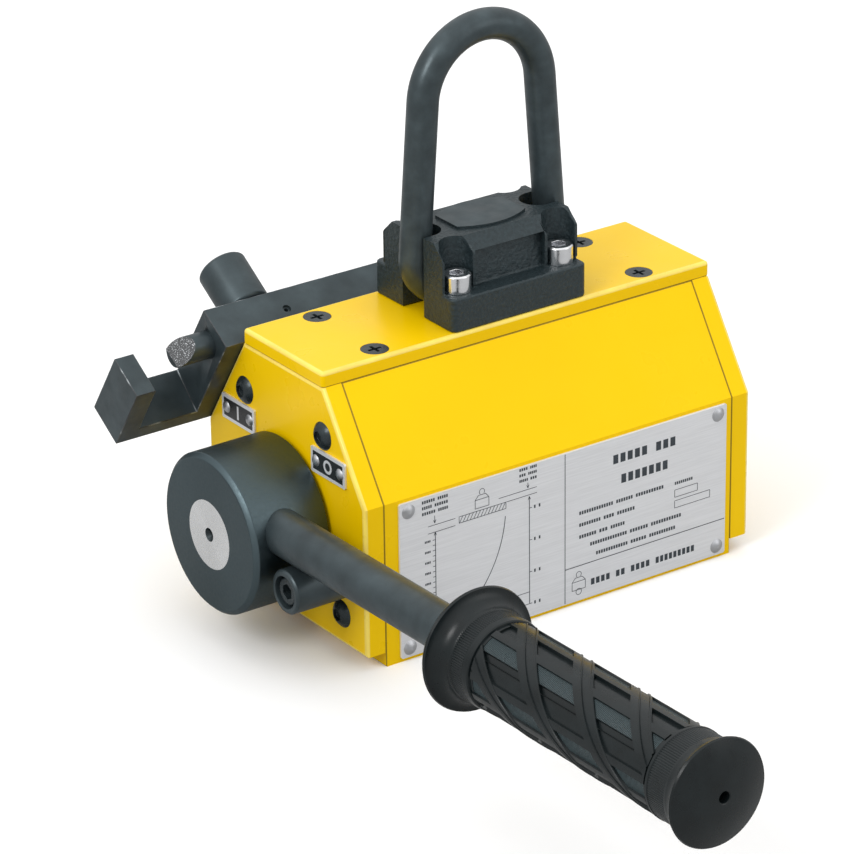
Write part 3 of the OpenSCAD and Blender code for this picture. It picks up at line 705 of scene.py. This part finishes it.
def draw_chart(ink):
    """Generic chart of lifting force: scales, captions, a hatched work piece and a curve."""
    draw_scales(ink)
    draw_captions(ink)
    bar_left = 24.8
    bar_foot = 44.8
    bar_top = 47.2
    hatch_pitch = 1.5
    ink.frame(bar_left, bar_foot, 44.6, bar_top)
    for n in range(13):
        x = bar_left + 0.2 + n * hatch_pitch
        ink.line((x, bar_foot + 0.1), (x + 1.3, bar_top - 0.1), FINE)
    draw_magnet_sign(ink, 34.5, bar_top + 1)
    curve_centre = (-2, 46)
    curve_radius = 46.5
    step_z = 9.8
    ink.arc(curve_centre, curve_radius, -5, -58, 30)
    ink.line((48, step_z), (CHART_RIGHT, step_z), FINE)
    ink.line((CHART_LEFT, CHART_FOOT), (CHART_RIGHT, CHART_FOOT), FINE)


def draw_fields(ink):
    """Right half of the plate: blank title, rows, boxes and a foot line."""
    divider = 70
    foot_rule = 13.6
    margin = 0.4
    title_height = 3.4
    row_height = 1.3
    box_left = 118.4
    sign_x = 76
    ink.line((divider, margin), (divider, ink.height - margin))
    ink.line((divider, foot_rule), (ink.width - margin, foot_rule))
    ink.row(91, 119.4, 48.6, title_height, [5, 3])
    ink.row(94.6, 116, 40.4, title_height, [1])
    rows = ((76.2, 113.6, 33.2), (76.2, 100.8, 28.6), (76.2, 96.4, 24), (81, 121.6, 20), (83.6, 119, 15.8))
    for x0, x1, z in rows:
        ink.row(x0, x1, z, row_height, [6, 3, 5])
    ink.row(box_left, 126.6, 33, 1.1, [1])
    ink.frame(box_left, 28.2, 128.6, 31)
    ink.frame(box_left, 24, 134.2, 26.8)
    draw_magnet_sign(ink, sign_x, 4.4)
    ink.arc((sign_x, 3.6), 1.2, 0, 360, 16, FINE)
    ink.row(81.4, 128, 4.6, 2.4, [4, 2, 4, 8])


def make_nameplate():
    """Bare plate with a printed chart and blank rows."""
    soft_copy("nameplate", 0.2 * MM, ["plate"], wanted=long_edge)
    ink = Print("nameplate")
    draw_chart(ink)
    draw_fields(ink)
    add_piece("nameplate_print", ink.bm, ["ink"], "nameplate")
    dress("nameplate_rivets", "rivet")


def make_sign(node, is_on):
    """Small sign: silver rim, black enamel field and a raised generic switch mark."""
    soft_copy(node, 0.15 * MM, ["plate"], wanted=lambda e: e.calc_length() > 0.5 * MM)
    low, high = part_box(node)
    rim = 1.35 * MM
    lift = PLATE_FACE_LIFT * MM
    proud = 2.4 * lift
    field = bmesh.new()
    block(field, (low.x - lift, low.y + rim, low.z + rim), (low.x + 0.1 * MM, high.y - rim, high.z - rim))
    add_piece(node + "_field", field, ["enamel"], node)
    mark = bmesh.new()
    middle = (low + high) / 2
    tall = 2.5 * MM
    stroke = 0.5 * MM
    if is_on:
        block(mark, (low.x - proud, middle.y - stroke, middle.z - tall),
              (low.x, middle.y + stroke, middle.z + tall))
    else:
        bore = tall - 2 * stroke
        spun(mark, [(bore, 0), (tall, 0), (tall, proud), (bore, proud)], 48)
        tidy_shell(mark)
        facing_out = Matrix.Rotation(-math.pi / 2, 3, "Y")
        bmesh.ops.rotate(mark, verts=mark.verts, cent=(0, 0, 0), matrix=facing_out)
        bmesh.ops.translate(mark, verts=mark.verts, vec=(low.x, middle.y, middle.z))
    add_piece(node + "_mark", mark, ["plate"], node)


# ---------- saddle and ring ----------

def make_saddle(sizes):
    """Rough casting with rounded edges and a milled pad on top."""
    bm = cad_copy("saddle")
    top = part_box("saddle")[1].z
    soften(bm, sharp_edges(bm, lambda e: max(v.co.z for v in e.verts) < top - 2 * MM), sizes.cast_edge, 3)
    for face in bm.faces:
        if face.calc_center_median().z > top - 0.1 * MM:
            face.material_index = 1
    piece = add_piece("saddle_finished", bm, ["cast", "milled"], "saddle")
    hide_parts("saddle")


def swing(bm, ring, centre, angle, steps):
    """Carries the open end of the bar round a centre in the xz plane."""
    made = bmesh.ops.spin(
        bm, geom=ring, cent=(centre[0], 0, centre[1]), axis=(0, -1, 0), angle=angle, steps=steps,
        use_duplicate=False, use_merge=False)
    return made["geom_last"]


def draw_out(bm, ring, move, steps):
    """Carries the open end of the bar straight on."""
    for _ in range(steps):
        edges = [g for g in ring if isinstance(g, bmesh.types.BMEdge)]
        made = bmesh.ops.extrude_edge_only(bm, edges=edges)["geom"]
        ring = [g for g in made if not isinstance(g, bmesh.types.BMFace)]
        verts = [g for g in ring if isinstance(g, bmesh.types.BMVert)]
        bmesh.ops.translate(bm, verts=verts, vec=Vector(move) / steps)
        kept = set(verts)
        ring = verts + [e for e in ring if isinstance(e, bmesh.types.BMEdge) and set(e.verts) <= kept]
    return ring


def make_ring(sizes):
    """Forged ring: one round bar, bent to a bow, two legs, two corners and a foot."""
    low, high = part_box("lifting_ring")
    bar = (high.y - low.y) / 2
    middle = (low.x + high.x) / 2
    lean = sizes.leg_lean
    bow = sizes.bow_radius
    corner = sizes.corner_radius
    bow_z = high.z - bar - bow
    foot_z = low.z + bar
    corner_z = foot_z + corner
    bow_end = bow_z + bow * math.sin(lean)
    corner_x = bow * math.cos(lean) - (corner + (corner_z - bow_end) * math.sin(lean)) / math.cos(lean)
    leg_top = Vector((bow * math.cos(lean), 0, bow_end))
    leg_foot = Vector((corner_x + corner * math.cos(lean), 0, corner_z + corner * math.sin(lean)))
    leg = leg_top - leg_foot
    bm = bmesh.new()
    bmesh.ops.create_circle(bm, segments=48, radius=bar, cap_ends=False)
    bmesh.ops.rotate(bm, verts=bm.verts, cent=(0, 0, 0), matrix=Matrix.Rotation(math.pi / 2, 3, "Y"))
    bmesh.ops.translate(bm, verts=bm.verts, vec=(-corner_x, 0, foot_z))
    ring = list(bm.verts) + list(bm.edges)
    ring = draw_out(bm, ring, (2 * corner_x, 0, 0), 4)
    ring = swing(bm, ring, (corner_x, corner_z), math.pi / 2 + lean, 16)
    ring = draw_out(bm, ring, leg, 10)
    ring = swing(bm, ring, (0, bow_z), math.pi - 2 * lean, 48)
    ring = draw_out(bm, ring, (leg.x, 0, -leg.z), 10)
    swing(bm, ring, (-corner_x, corner_z), math.pi / 2 + lean, 16)
    bmesh.ops.remove_doubles(bm, verts=bm.verts, dist=0.02 * MM)
    bmesh.ops.translate(bm, verts=bm.verts, vec=(middle, 0, 0))
    bmesh.ops.recalc_face_normals(bm, faces=bm.faces)
    piece = add_piece("lifting_ring_forged", bm, ["forged"], "lifting_ring")
    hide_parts("lifting_ring")


# ---------- latch ----------

def make_latch(sizes):
    """Latch bar with rubbed edges, bolt with a worn ramp, knob and spring."""
    soft_copy("latch_bar", sizes.bar_edge, ["steel", "edge"], 2, 1, long_edge)
    bm = cad_copy("latch_bolt")
    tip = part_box("latch_bolt")[0].x
    ramp_length = 14 * MM
    steepest = -0.9
    flattest = -0.3
    for face in bm.faces:
        on_tip = face.calc_center_median().x < tip + ramp_length
        if on_tip and steepest < face.normal.x < flattest:
            face.material_index = 1
    soften(bm, sharp_edges(bm, lambda e: e.calc_length() < 2 * MM), 0.25 * MM)
    piece = add_piece("latch_bolt_finished", bm, ["steel", "worn"], "latch_bolt")
    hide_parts("latch_bolt")
    soft_copy("latch_knob", 0.4 * MM, ["steel"], 3)
    dress("latch_spring", "zinc")
    dress("latch_set_screw", "steel")


# ---------- lever ----------

def make_hub():
    """Turned hub with a chamfered rim, bored for the shaft."""
    low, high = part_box("lever_hub")
    radius = (high.z - low.z) / 2
    middle = (low.z + high.z) / 2
    depth = high.x - low.x
    bore = 12.5 * MM
    chamfer = 1.7 * MM
    step = 0.25 * MM
    profile = [
        (bore, 0), (bore + step, 0), (radius - chamfer - step, 0), (radius - chamfer + step, step),
        (radius - step, chamfer - step), (radius, chamfer + step), (radius, depth - 2 * step),
        (radius - step, depth - step), (radius - 3 * step, depth), (bore, depth),
    ]
    bm = bmesh.new()
    spun(bm, profile, 144)
    tidy_shell(bm)
    bmesh.ops.rotate(bm, verts=bm.verts, cent=(0, 0, 0), matrix=Matrix.Rotation(math.pi / 2, 3, "Y"))
    bmesh.ops.translate(bm, verts=bm.verts, vec=(low.x, 0, middle))
    piece = add_piece("lever_hub_turned", bm, ["hub"], "lever_hub")
    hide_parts("lever_hub")


def make_shaft():
    """Shaft with a turned end face and a centre drilling whose inside is painted in dark steel as painted
    shade.
    """
    face_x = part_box("rotor_shaft")[0].x
    across, upward = hub_centre()
    drilling = 2.7 * MM
    deepest = face_x + 4 * drilling
    bm = cad_copy("rotor_shaft")
    # Faces inside the centre drilling take the dark screw steel: painted shade in the hole.
    for face in bm.faces:
        near = all(math.hypot(v.co.y - across, v.co.z - upward) < drilling for v in face.verts)
        if near and face_x + MERGE < face.calc_center_median().x < deepest:
            face.material_index = 1
    piece = add_piece("rotor_shaft_turned", bm, ["turned", "screw"], "rotor_shaft")
    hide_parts("rotor_shaft")


def lever_line(sizes):
    """Middle, direction, length and radius of the lever rod, from its box."""
    low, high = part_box("lever_rod")
    rise = sizes.rod_rise
    radius = (high.x - low.x) / 2
    length = (high.y - low.y - 2 * radius * math.sin(rise)) / math.cos(rise)
    return (low + high) / 2, Vector((0, -math.cos(rise), math.sin(rise))), length, radius


# Grip: a helical band pattern, in millimetres along the grip and degrees round it
BAND_PITCH = 29.3
BAND_STARTS = 4
BAND_SLOPE = BAND_PITCH * BAND_STARTS / 360
BAND_START = -1.9
ROW_PITCH = 30
GRIP_RADIUS = 15.25
PATTERN_FROM = 18.3
PATTERN_TO = 107.9
ROW_ANGLE = 22                  # turns the rows so that one bar faces the right way
# Lines along one band pitch: (distance, what the surface does from there)
BAND_LINES = [
    (0, "edge"), (0.25, "ridge"), (0.65, "ridge"), (0.95, "band"), (5.2, "band"), (5.5, "ridge"),
    (5.9, "ridge"), (6.2, "edge"), (6.6, "edge"), (6.85, "window"), (12.5, "window"),
    (18.5, "window"), (25.0, "window"), (25.25, "edge"), (27.3, "edge"),
]
# Lines round one row, in degrees
ROW_LINES = [0, 2, 3.4, 4.0, 4.8, 5.4, 9, 13, 17, 21, 24.6, 25.2, 26.4, 28.2]
RIDGE_RISE = 0.28
BAND_SINK = 0.22
ROW_SINKS = [0.8, 0.75, 1.2, 0.7]      # floors of four rows in turn
RIBBED_ROWS = (1, 3)
GROOVE_AFTER = 3                # the bar after this row is cut to a groove
GROOVE_SINK = 1.3
WINDOW_FROM = 5.1               # part of a row that is cut to a window
WINDOW_TO = 24.9
GROOVE_FROM = 26                # from here past the row's end to GROOVE_TO of the next row
GROOVE_TO = 4.2
CUT_MERGE = 0.005


def grip_relief(what, row, place):
    """Radius of the patterned body at one point, in millimetres."""
    in_window = WINDOW_FROM < place < WINDOW_TO
    if what == "ridge":
        return GRIP_RADIUS + RIDGE_RISE
    if what == "band":
        return GRIP_RADIUS - BAND_SINK
    if what == "window" and in_window:
        return GRIP_RADIUS - ROW_SINKS[row % len(ROW_SINKS)]
    after = row if place > ROW_PITCH / 2 else row - 1
    in_groove = place > GROOVE_FROM or place < GROOVE_TO
    if what == "window" and in_groove and after % len(ROW_SINKS) == GROOVE_AFTER:
        return GRIP_RADIUS - GROOVE_SINK
    return GRIP_RADIUS


def make_grip_pattern(bm):
    """Patterned tube: band lines are spun as a screw, then moved to their relief."""
    lap = BAND_PITCH * BAND_STARTS
    first = math.floor((PATTERN_FROM - lap) / BAND_PITCH) - 2
    last = math.ceil(PATTERN_TO / BAND_PITCH) + 1
    heights = []
    for turn in range(first, last):
        for offset, what in BAND_LINES:
            heights.append((BAND_START + turn * BAND_PITCH + offset, what))
    steps = len(ROW_LINES) * 360 // ROW_PITCH
    points = [bm.verts.new((GRIP_RADIUS, 0, h)) for h, _ in heights]
    edges = [bm.edges.new(pair) for pair in zip(points, points[1:])]
    bmesh.ops.spin(
        bm, geom=points + edges, cent=(0, 0, 0), axis=(0, 0, 1), dvec=(0, 0, lap / steps),
        angle=FULL_TURN, steps=steps, use_merge=False, use_duplicate=False)
    kinds = dict((round(h, 3), what) for h, what in heights)
    on_ribs = {}
    for vert in bm.verts:
        raw = math.degrees(math.atan2(vert.co.y, vert.co.x)) % 360
        # the step of the spin that made this point, and the height it started from
        step = round(raw / 360 * steps) % steps
        start = vert.co.z - lap * step / steps
        what = kinds.get(round(start, 3)) or kinds.get(round(start - lap, 3))
        whole = start if round(start, 3) in kinds else start - lap
        turned = 360 if round(start, 3) not in kinds else 0
        row, line = divmod(step, len(ROW_LINES))
        place = ROW_LINES[line]
        angle = row * ROW_PITCH + place + turned
        radius = grip_relief(what, row, place)
        in_window = what == "window" and WINDOW_FROM < place < WINDOW_TO
        on_ribs[vert] = in_window and row % len(ROW_SINKS) in RIBBED_ROWS
        a = math.radians(angle + ROW_ANGLE)
        vert.co = (radius * math.cos(a), radius * math.sin(a), whole + BAND_SLOPE * (angle + ROW_ANGLE))
    # Faces in the ribbed windows take slot 1, the ribbed rubber that is coloured lighter as a painted
    # highlight.
    for face in bm.faces:
        face.material_index = 1 if all(on_ribs[v] for v in face.verts) else 0
    bmesh.ops.remove_doubles(bm, verts=bm.verts, dist=CUT_MERGE)
    for height, side in ((PATTERN_FROM, 1), (PATTERN_TO, -1)):
        everything = bm.verts[:] + bm.edges[:] + bm.faces[:]
        bmesh.ops.bisect_plane(
            bm, geom=everything, plane_co=(0, 0, height), plane_no=(0, 0, -side), clear_outer=True)
    bmesh.ops.holes_fill(bm, edges=[e for e in bm.edges if e.is_boundary], sides=0)
    bmesh.ops.recalc_face_normals(bm, faces=bm.faces)


RIB_COUNT = 120
RIB_STEPS = 3
RIB_RISE = 0.16
END_MERGE = 0.004


def add_grip_end(bm, profile, ribbed):
    """Turns one end of the grip and raises its fine lengthwise ribs between two heights."""
    part = bmesh.new()
    spun(part, profile, RIB_COUNT * RIB_STEPS)
    bmesh.ops.remove_doubles(part, verts=part.verts, dist=END_MERGE)
    bmesh.ops.recalc_face_normals(part, faces=part.faces)
    for vert in part.verts:
        reach = math.hypot(vert.co.x, vert.co.y)
        if ribbed[0] < vert.co.z < ribbed[1] and reach > GRIP_RADIUS - 1:
            step = round(math.degrees(math.atan2(vert.co.y, vert.co.x)) % 360)
            if step % RIB_STEPS == 0:
                grow = (reach - RIB_RISE) / reach
                vert.co.x *= grow
                vert.co.y *= grow
    mesh = bpy.data.meshes.new("grip_end")
    part.to_mesh(mesh)
    part.free()
    bm.from_mesh(mesh)
    bpy.data.meshes.remove(mesh)


def trumpet(foot_r, foot_z, rim_r, rim_z, steps=12):
    """Points of a flaring wall from its foot to its rim, steeper and steeper."""
    points = []
    for n in range(steps + 1):
        a = n / steps * math.pi / 2
        reach = foot_r + (rim_r - foot_r) * (1 - math.cos(a))
        points.append((reach, foot_z + (rim_z - foot_z) * math.sin(a)))
    return points


END_WALL = 10                   # rubber past the end of the rod


def make_inner_end(bm, bore):
    """Wide flange that flares from a ribbed collar, with a lip where the pattern starts."""
    flange = 21.6
    collar = 15.85
    lip = 16.0
    core = 14.7
    end = 18.9
    wall = trumpet(16.1, 7.6, flange - 0.3, 2.0)
    profile = [(bore, 0.3), (flange - 1.6, 0.0), (flange - 0.5, 0.35), (flange, 1.1)] + wall[::-1]
    profile += [
        (lip, 8.0), (collar, 8.3), (collar, 14.3), (lip - 0.05, 14.5), (lip, 14.9), (lip - 0.3, 16.9),
        (15.35, 17.3), (core, 17.5), (core, end), (bore, end),
    ]
    add_grip_end(bm, profile, (8.2, 14.4))


def make_outer_end(bm, bore, grip_l):
    """Lip, ribbed collar and a flange with a domed face and a small hole in its middle."""
    start = 107.2
    core = 14.6
    lip = 15.75
    collar = 15.55
    flange = 18.3
    edge = 0.35
    dome_h = 4.4
    dome_steps = 11
    dome_power = 2.2
    hole = 2.0
    rod_end = grip_l - END_WALL + 0.2
    flare = trumpet(lip, 118.6, flange - edge, 123.4, 10)
    dome = []
    for n in range(dome_steps + 1):
        r = hole + edge + (flange - 2 * edge - hole) * (1 - n / dome_steps)
        dome.append((r, grip_l - 0.2 - (dome_h - 0.8) * (r / flange) ** dome_power))
    profile = [
        (bore, start), (core, start), (core, 108.5), (15.35, 108.7), (lip, 109.1), (lip, 110.0),
        (collar, 110.2), (collar, 118.0),
    ]
    profile += flare + [(flange, grip_l - dome_h + 0.1)] + dome
    profile += [(hole, grip_l - 0.5), (hole, rod_end), (bore, rod_end)]
    add_grip_end(bm, profile, (110.1, 118.1))


def make_grip(sizes):
    """Rubber grip: inner flange, patterned body and domed end flange."""
    middle, out, length, rod = lever_line(sizes)
    bore = rod / MM
    bm = bmesh.new()
    make_grip_pattern(bm)
    make_inner_end(bm, bore)
    make_outer_end(bm, bore, sizes.grip_length / MM)
    bmesh.ops.scale(bm, vec=(MM, MM, MM), verts=bm.verts)
    across = Vector((1, 0, 0))
    up = out.cross(across)
    place = Matrix((across, up, out)).transposed().to_4x4()
    place.translation = middle + out * (length / 2 + END_WALL * MM - sizes.grip_length)
    bmesh.ops.transform(bm, matrix=place, verts=bm.verts)
    piece = add_piece("lever_grip_moulded", bm, ["rubber", "ribbed"], "lever_grip")
    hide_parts("lever_grip")


# ---------- stage ----------

FLOOR_SHADE = 0.45              # floor as the pieces mirror it, against the floor as seen
FLOOR_HALF = 6
SKY_LOW = -0.1                  # rise of the view line where the sky is dimmest and brightest
SKY_HIGH = 0.8
LIGHT_AIM = (0, 0, 0.08)
KEY_PLACE = (-1.3, -0.35, 1.1)
KEY_SIZE = 0.7
SIDE_PLACE = (0.9, -1.3, 0.7)
SIDE_SIZE = 1.0


def add_light(name, place, aim, size, power):
    data = bpy.data.lights.new(name, "AREA")
    data.shape = "DISK"
    data.size = size
    data.energy = power
    light = bpy.data.objects.new(name, data)
    light.location = place
    light.rotation_euler = (Vector(aim) - Vector(place)).to_track_quat("-Z", "Y").to_euler()
    bpy.context.scene.collection.objects.link(light)


def add_camera(stage):
    azimuth = stage.azimuth
    elevation = stage.elevation
    back = Vector((math.sin(azimuth) * math.cos(elevation), -math.cos(azimuth) * math.cos(elevation),
                   math.sin(elevation)))
    right = Vector((math.cos(azimuth), math.sin(azimuth), 0))
    up = back.cross(right)
    across = right * math.cos(stage.roll) + up * math.sin(stage.roll)
    upward = up * math.cos(stage.roll) - right * math.sin(stage.roll)
    place = Matrix((across, upward, back)).transposed().to_4x4()
    place.translation = Vector(stage.target) + back * stage.distance
    data = bpy.data.cameras.new("view")
    data.sensor_width = 36
    data.lens = stage.lens
    camera = bpy.data.objects.new("view", data)
    camera.matrix_world = place
    bpy.context.scene.collection.objects.link(camera)
    bpy.context.scene.camera = camera


def pale_ground(name, colour):
    """White to the camera, and dimmer where pieces mirror it."""
    f = Finish(name, colour, 0.8)
    seen = f.nodes.new("ShaderNodeLightPath").outputs["Is Camera Ray"]
    f.mottle(seen, [(0.0, FLOOR_SHADE), (1.0, 1.0)])
    f.gloss(f.noise(2, 3), 0.75, 0.85)
    f.relief(f.noise(40, 2), 0.00001, 0.1)
    return f.material


def add_floor(colour):
    bm = bmesh.new()
    bmesh.ops.create_grid(bm, x_segments=1, y_segments=1, size=FLOOR_HALF)
    mesh = bpy.data.meshes.new("floor")
    bm.to_mesh(mesh)
    bm.free()
    mesh.materials.append(pale_ground("pale_floor", colour))
    floor = bpy.data.objects.new("floor", mesh)
    bpy.context.scene.collection.objects.link(floor)


def add_world(stage):
    """White behind the magnet; the pieces are lit by a sky that is bright above and dim low down."""
    world = bpy.data.worlds.new("studio")
    world.use_nodes = True
    nodes = world.node_tree.nodes
    links = world.node_tree.links
    seen = nodes.new("ShaderNodeLightPath").outputs["Is Camera Ray"]
    parts = nodes.new("ShaderNodeSeparateXYZ")
    links.new(nodes.new("ShaderNodeTexCoord").outputs["Generated"], parts.inputs["Vector"])
    rising = nodes.new("ShaderNodeMapRange")
    rising.inputs["From Min"].default_value = SKY_LOW
    rising.inputs["From Max"].default_value = SKY_HIGH
    rising.inputs["To Min"].default_value = stage.horizon
    rising.inputs["To Max"].default_value = stage.world
    links.new(parts.outputs["Z"], rising.inputs["Value"])
    strength = nodes.new("ShaderNodeMix")
    strength.inputs["B"].default_value = 1.0
    links.new(seen, strength.inputs["Factor"])
    links.new(rising.outputs["Result"], strength.inputs["A"])
    sky = nodes["Background"]
    sky.inputs["Color"].default_value = (1.0, 1.0, 1.0, 1.0)
    links.new(strength.outputs["Result"], sky.inputs["Strength"])
    bpy.context.scene.world = world


# ---------- operators ----------

BLACK_SCREWS = (
    "top_plate_screws", "hub_end_screws", "far_end_screws", "latch_bar_screws", "stop_screw")


class MAGNET_OT_block(bpy.types.Operator):
    """Painted block: poles, end plates and top plate"""
    bl_idname = "magnet.block"
    bl_label = "Painted block"

    def execute(self, context):
        sizes = context.scene.magnet_looks.sizes
        make_poles(sizes)
        make_end_plate("hub_end_plate", sizes)
        make_end_plate("far_end_plate", sizes)
        make_top_plate(sizes)
        return {"FINISHED"}


class MAGNET_OT_inside(bpy.types.Operator):
    """Finishes of the rotor, the magnets and the bushes"""
    bl_idname = "magnet.inside"
    bl_label = "Inner pieces"

    def execute(self, context):
        make_shaft()
        for node in ("rotor_far_journal", "rotor_front_pole", "rotor_rear_pole"):
            dress(node, "turned")
        for node in ("stator_magnets", "rotor_magnets"):
            dress(node, "magnet")
        for node in ("pole_spacer", "hub_end_bush", "far_end_bush"):
            dress(node, "bronze")
        for node in ("rotor_screws", "hub_grub_screw", "hub_key"):
            dress(node, "screw")
        return {"FINISHED"}


class MAGNET_OT_fasteners(bpy.types.Operator):
    """Screws, with the edges of their heads rounded"""
    bl_idname = "magnet.fasteners"
    bl_label = "Screws"

    def execute(self, context):
        for node in BLACK_SCREWS:
            soft_copy(node, 0.15 * MM, ["screw"])
        soft_copy("saddle_screws", 0.2 * MM, ["zinc"])
        return {"FINISHED"}


class MAGNET_OT_nameplate(bpy.types.Operator):
    """Nameplate with its printed chart and blank fields"""
    bl_idname = "magnet.nameplate"
    bl_label = "Nameplate"

    def execute(self, context):
        make_nameplate()
        return {"FINISHED"}


class MAGNET_OT_signs(bpy.types.Operator):
    """The two switch signs on the hub end"""
    bl_idname = "magnet.signs"
    bl_label = "Switch signs"

    def execute(self, context):
        make_sign("on_label", True)
        make_sign("off_label", False)
        dress("label_rivets", "rivet")
        return {"FINISHED"}


class MAGNET_OT_saddle(bpy.types.Operator):
    """Cast saddle over the ring's foot"""
    bl_idname = "magnet.saddle"
    bl_label = "Saddle"

    def execute(self, context):
        make_saddle(context.scene.magnet_looks.sizes)
        return {"FINISHED"}


class MAGNET_OT_ring(bpy.types.Operator):
    """Forged lifting ring"""
    bl_idname = "magnet.ring"
    bl_label = "Lifting ring"

    def execute(self, context):
        make_ring(context.scene.magnet_looks.sizes)
        return {"FINISHED"}


class MAGNET_OT_latch(bpy.types.Operator):
    """Latch bar, bolt, knob and spring"""
    bl_idname = "magnet.latch"
    bl_label = "Latch"

    def execute(self, context):
        make_latch(context.scene.magnet_looks.sizes)
        return {"FINISHED"}


class MAGNET_OT_lever(bpy.types.Operator):
    """Hub, rod and off stop"""
    bl_idname = "magnet.lever"
    bl_label = "Lever"

    def execute(self, context):
        make_hub()
        soft_copy("lever_rod", 0.4 * MM, ["steel"])
        soft_copy("stop_post", 0.25 * MM, ["steel"])
        return {"FINISHED"}


class MAGNET_OT_grip(bpy.types.Operator):
    """Moulded rubber grip"""
    bl_idname = "magnet.grip"
    bl_label = "Grip"

    def execute(self, context):
        make_grip(context.scene.magnet_looks.sizes)
        return {"FINISHED"}


class MAGNET_OT_stage(bpy.types.Operator):
    """Camera, lights, floor and white surroundings"""
    bl_idname = "magnet.stage"
    bl_label = "Stage"

    def execute(self, context):
        looks = context.scene.magnet_looks
        stage = looks.stage
        add_camera(stage)
        add_floor(looks.colours.floor)
        add_world(stage)
        add_light("key_light", KEY_PLACE, LIGHT_AIM, KEY_SIZE, stage.key)
        add_light("side_light", SIDE_PLACE, LIGHT_AIM, SIDE_SIZE, stage.fill)
        context.scene.view_settings.view_transform = "Standard"
        return {"FINISHED"}


class MAGNET_PT_panel(bpy.types.Panel):
    """Lists the steps that build the lifting magnet's looks"""
    bl_idname = "MAGNET_PT_panel"
    bl_label = "Lifting magnet"
    bl_space_type = "VIEW_3D"
    bl_region_type = "UI"
    bl_category = "Magnet"

    def draw(self, context):
        for step in STEPS:
            self.layout.operator(step.bl_idname)
        looks = context.scene.magnet_looks
        for group in (looks.colours, looks.sizes, looks.stage):
            for name in group.__annotations__:
                self.layout.prop(group, name)


STEPS = (
    MAGNET_OT_block, MAGNET_OT_inside, MAGNET_OT_fasteners, MAGNET_OT_nameplate, MAGNET_OT_signs,
    MAGNET_OT_saddle, MAGNET_OT_ring, MAGNET_OT_latch, MAGNET_OT_lever, MAGNET_OT_grip, MAGNET_OT_stage,
)
CLASSES = (MagnetColours, MagnetSizes, MagnetStage, MagnetLooks) + STEPS + (MAGNET_PT_panel,)


def register():
    for entry in CLASSES:
        bpy.utils.register_class(entry)
    bpy.types.Scene.magnet_looks = bpy.props.PointerProperty(type=MagnetLooks)


def unregister():
    del bpy.types.Scene.magnet_looks
    for entry in reversed(CLASSES):
        bpy.utils.unregister_class(entry)


def main():
    register()
    bpy.ops.magnet.block()
    bpy.ops.magnet.inside()
    bpy.ops.magnet.fasteners()
    bpy.ops.magnet.nameplate()
    bpy.ops.magnet.signs()
    bpy.ops.magnet.saddle()
    bpy.ops.magnet.ring()
    bpy.ops.magnet.latch()
    bpy.ops.magnet.lever()
    bpy.ops.magnet.grip()
    bpy.ops.magnet.stage()


if __name__ == "__main__":
    main()
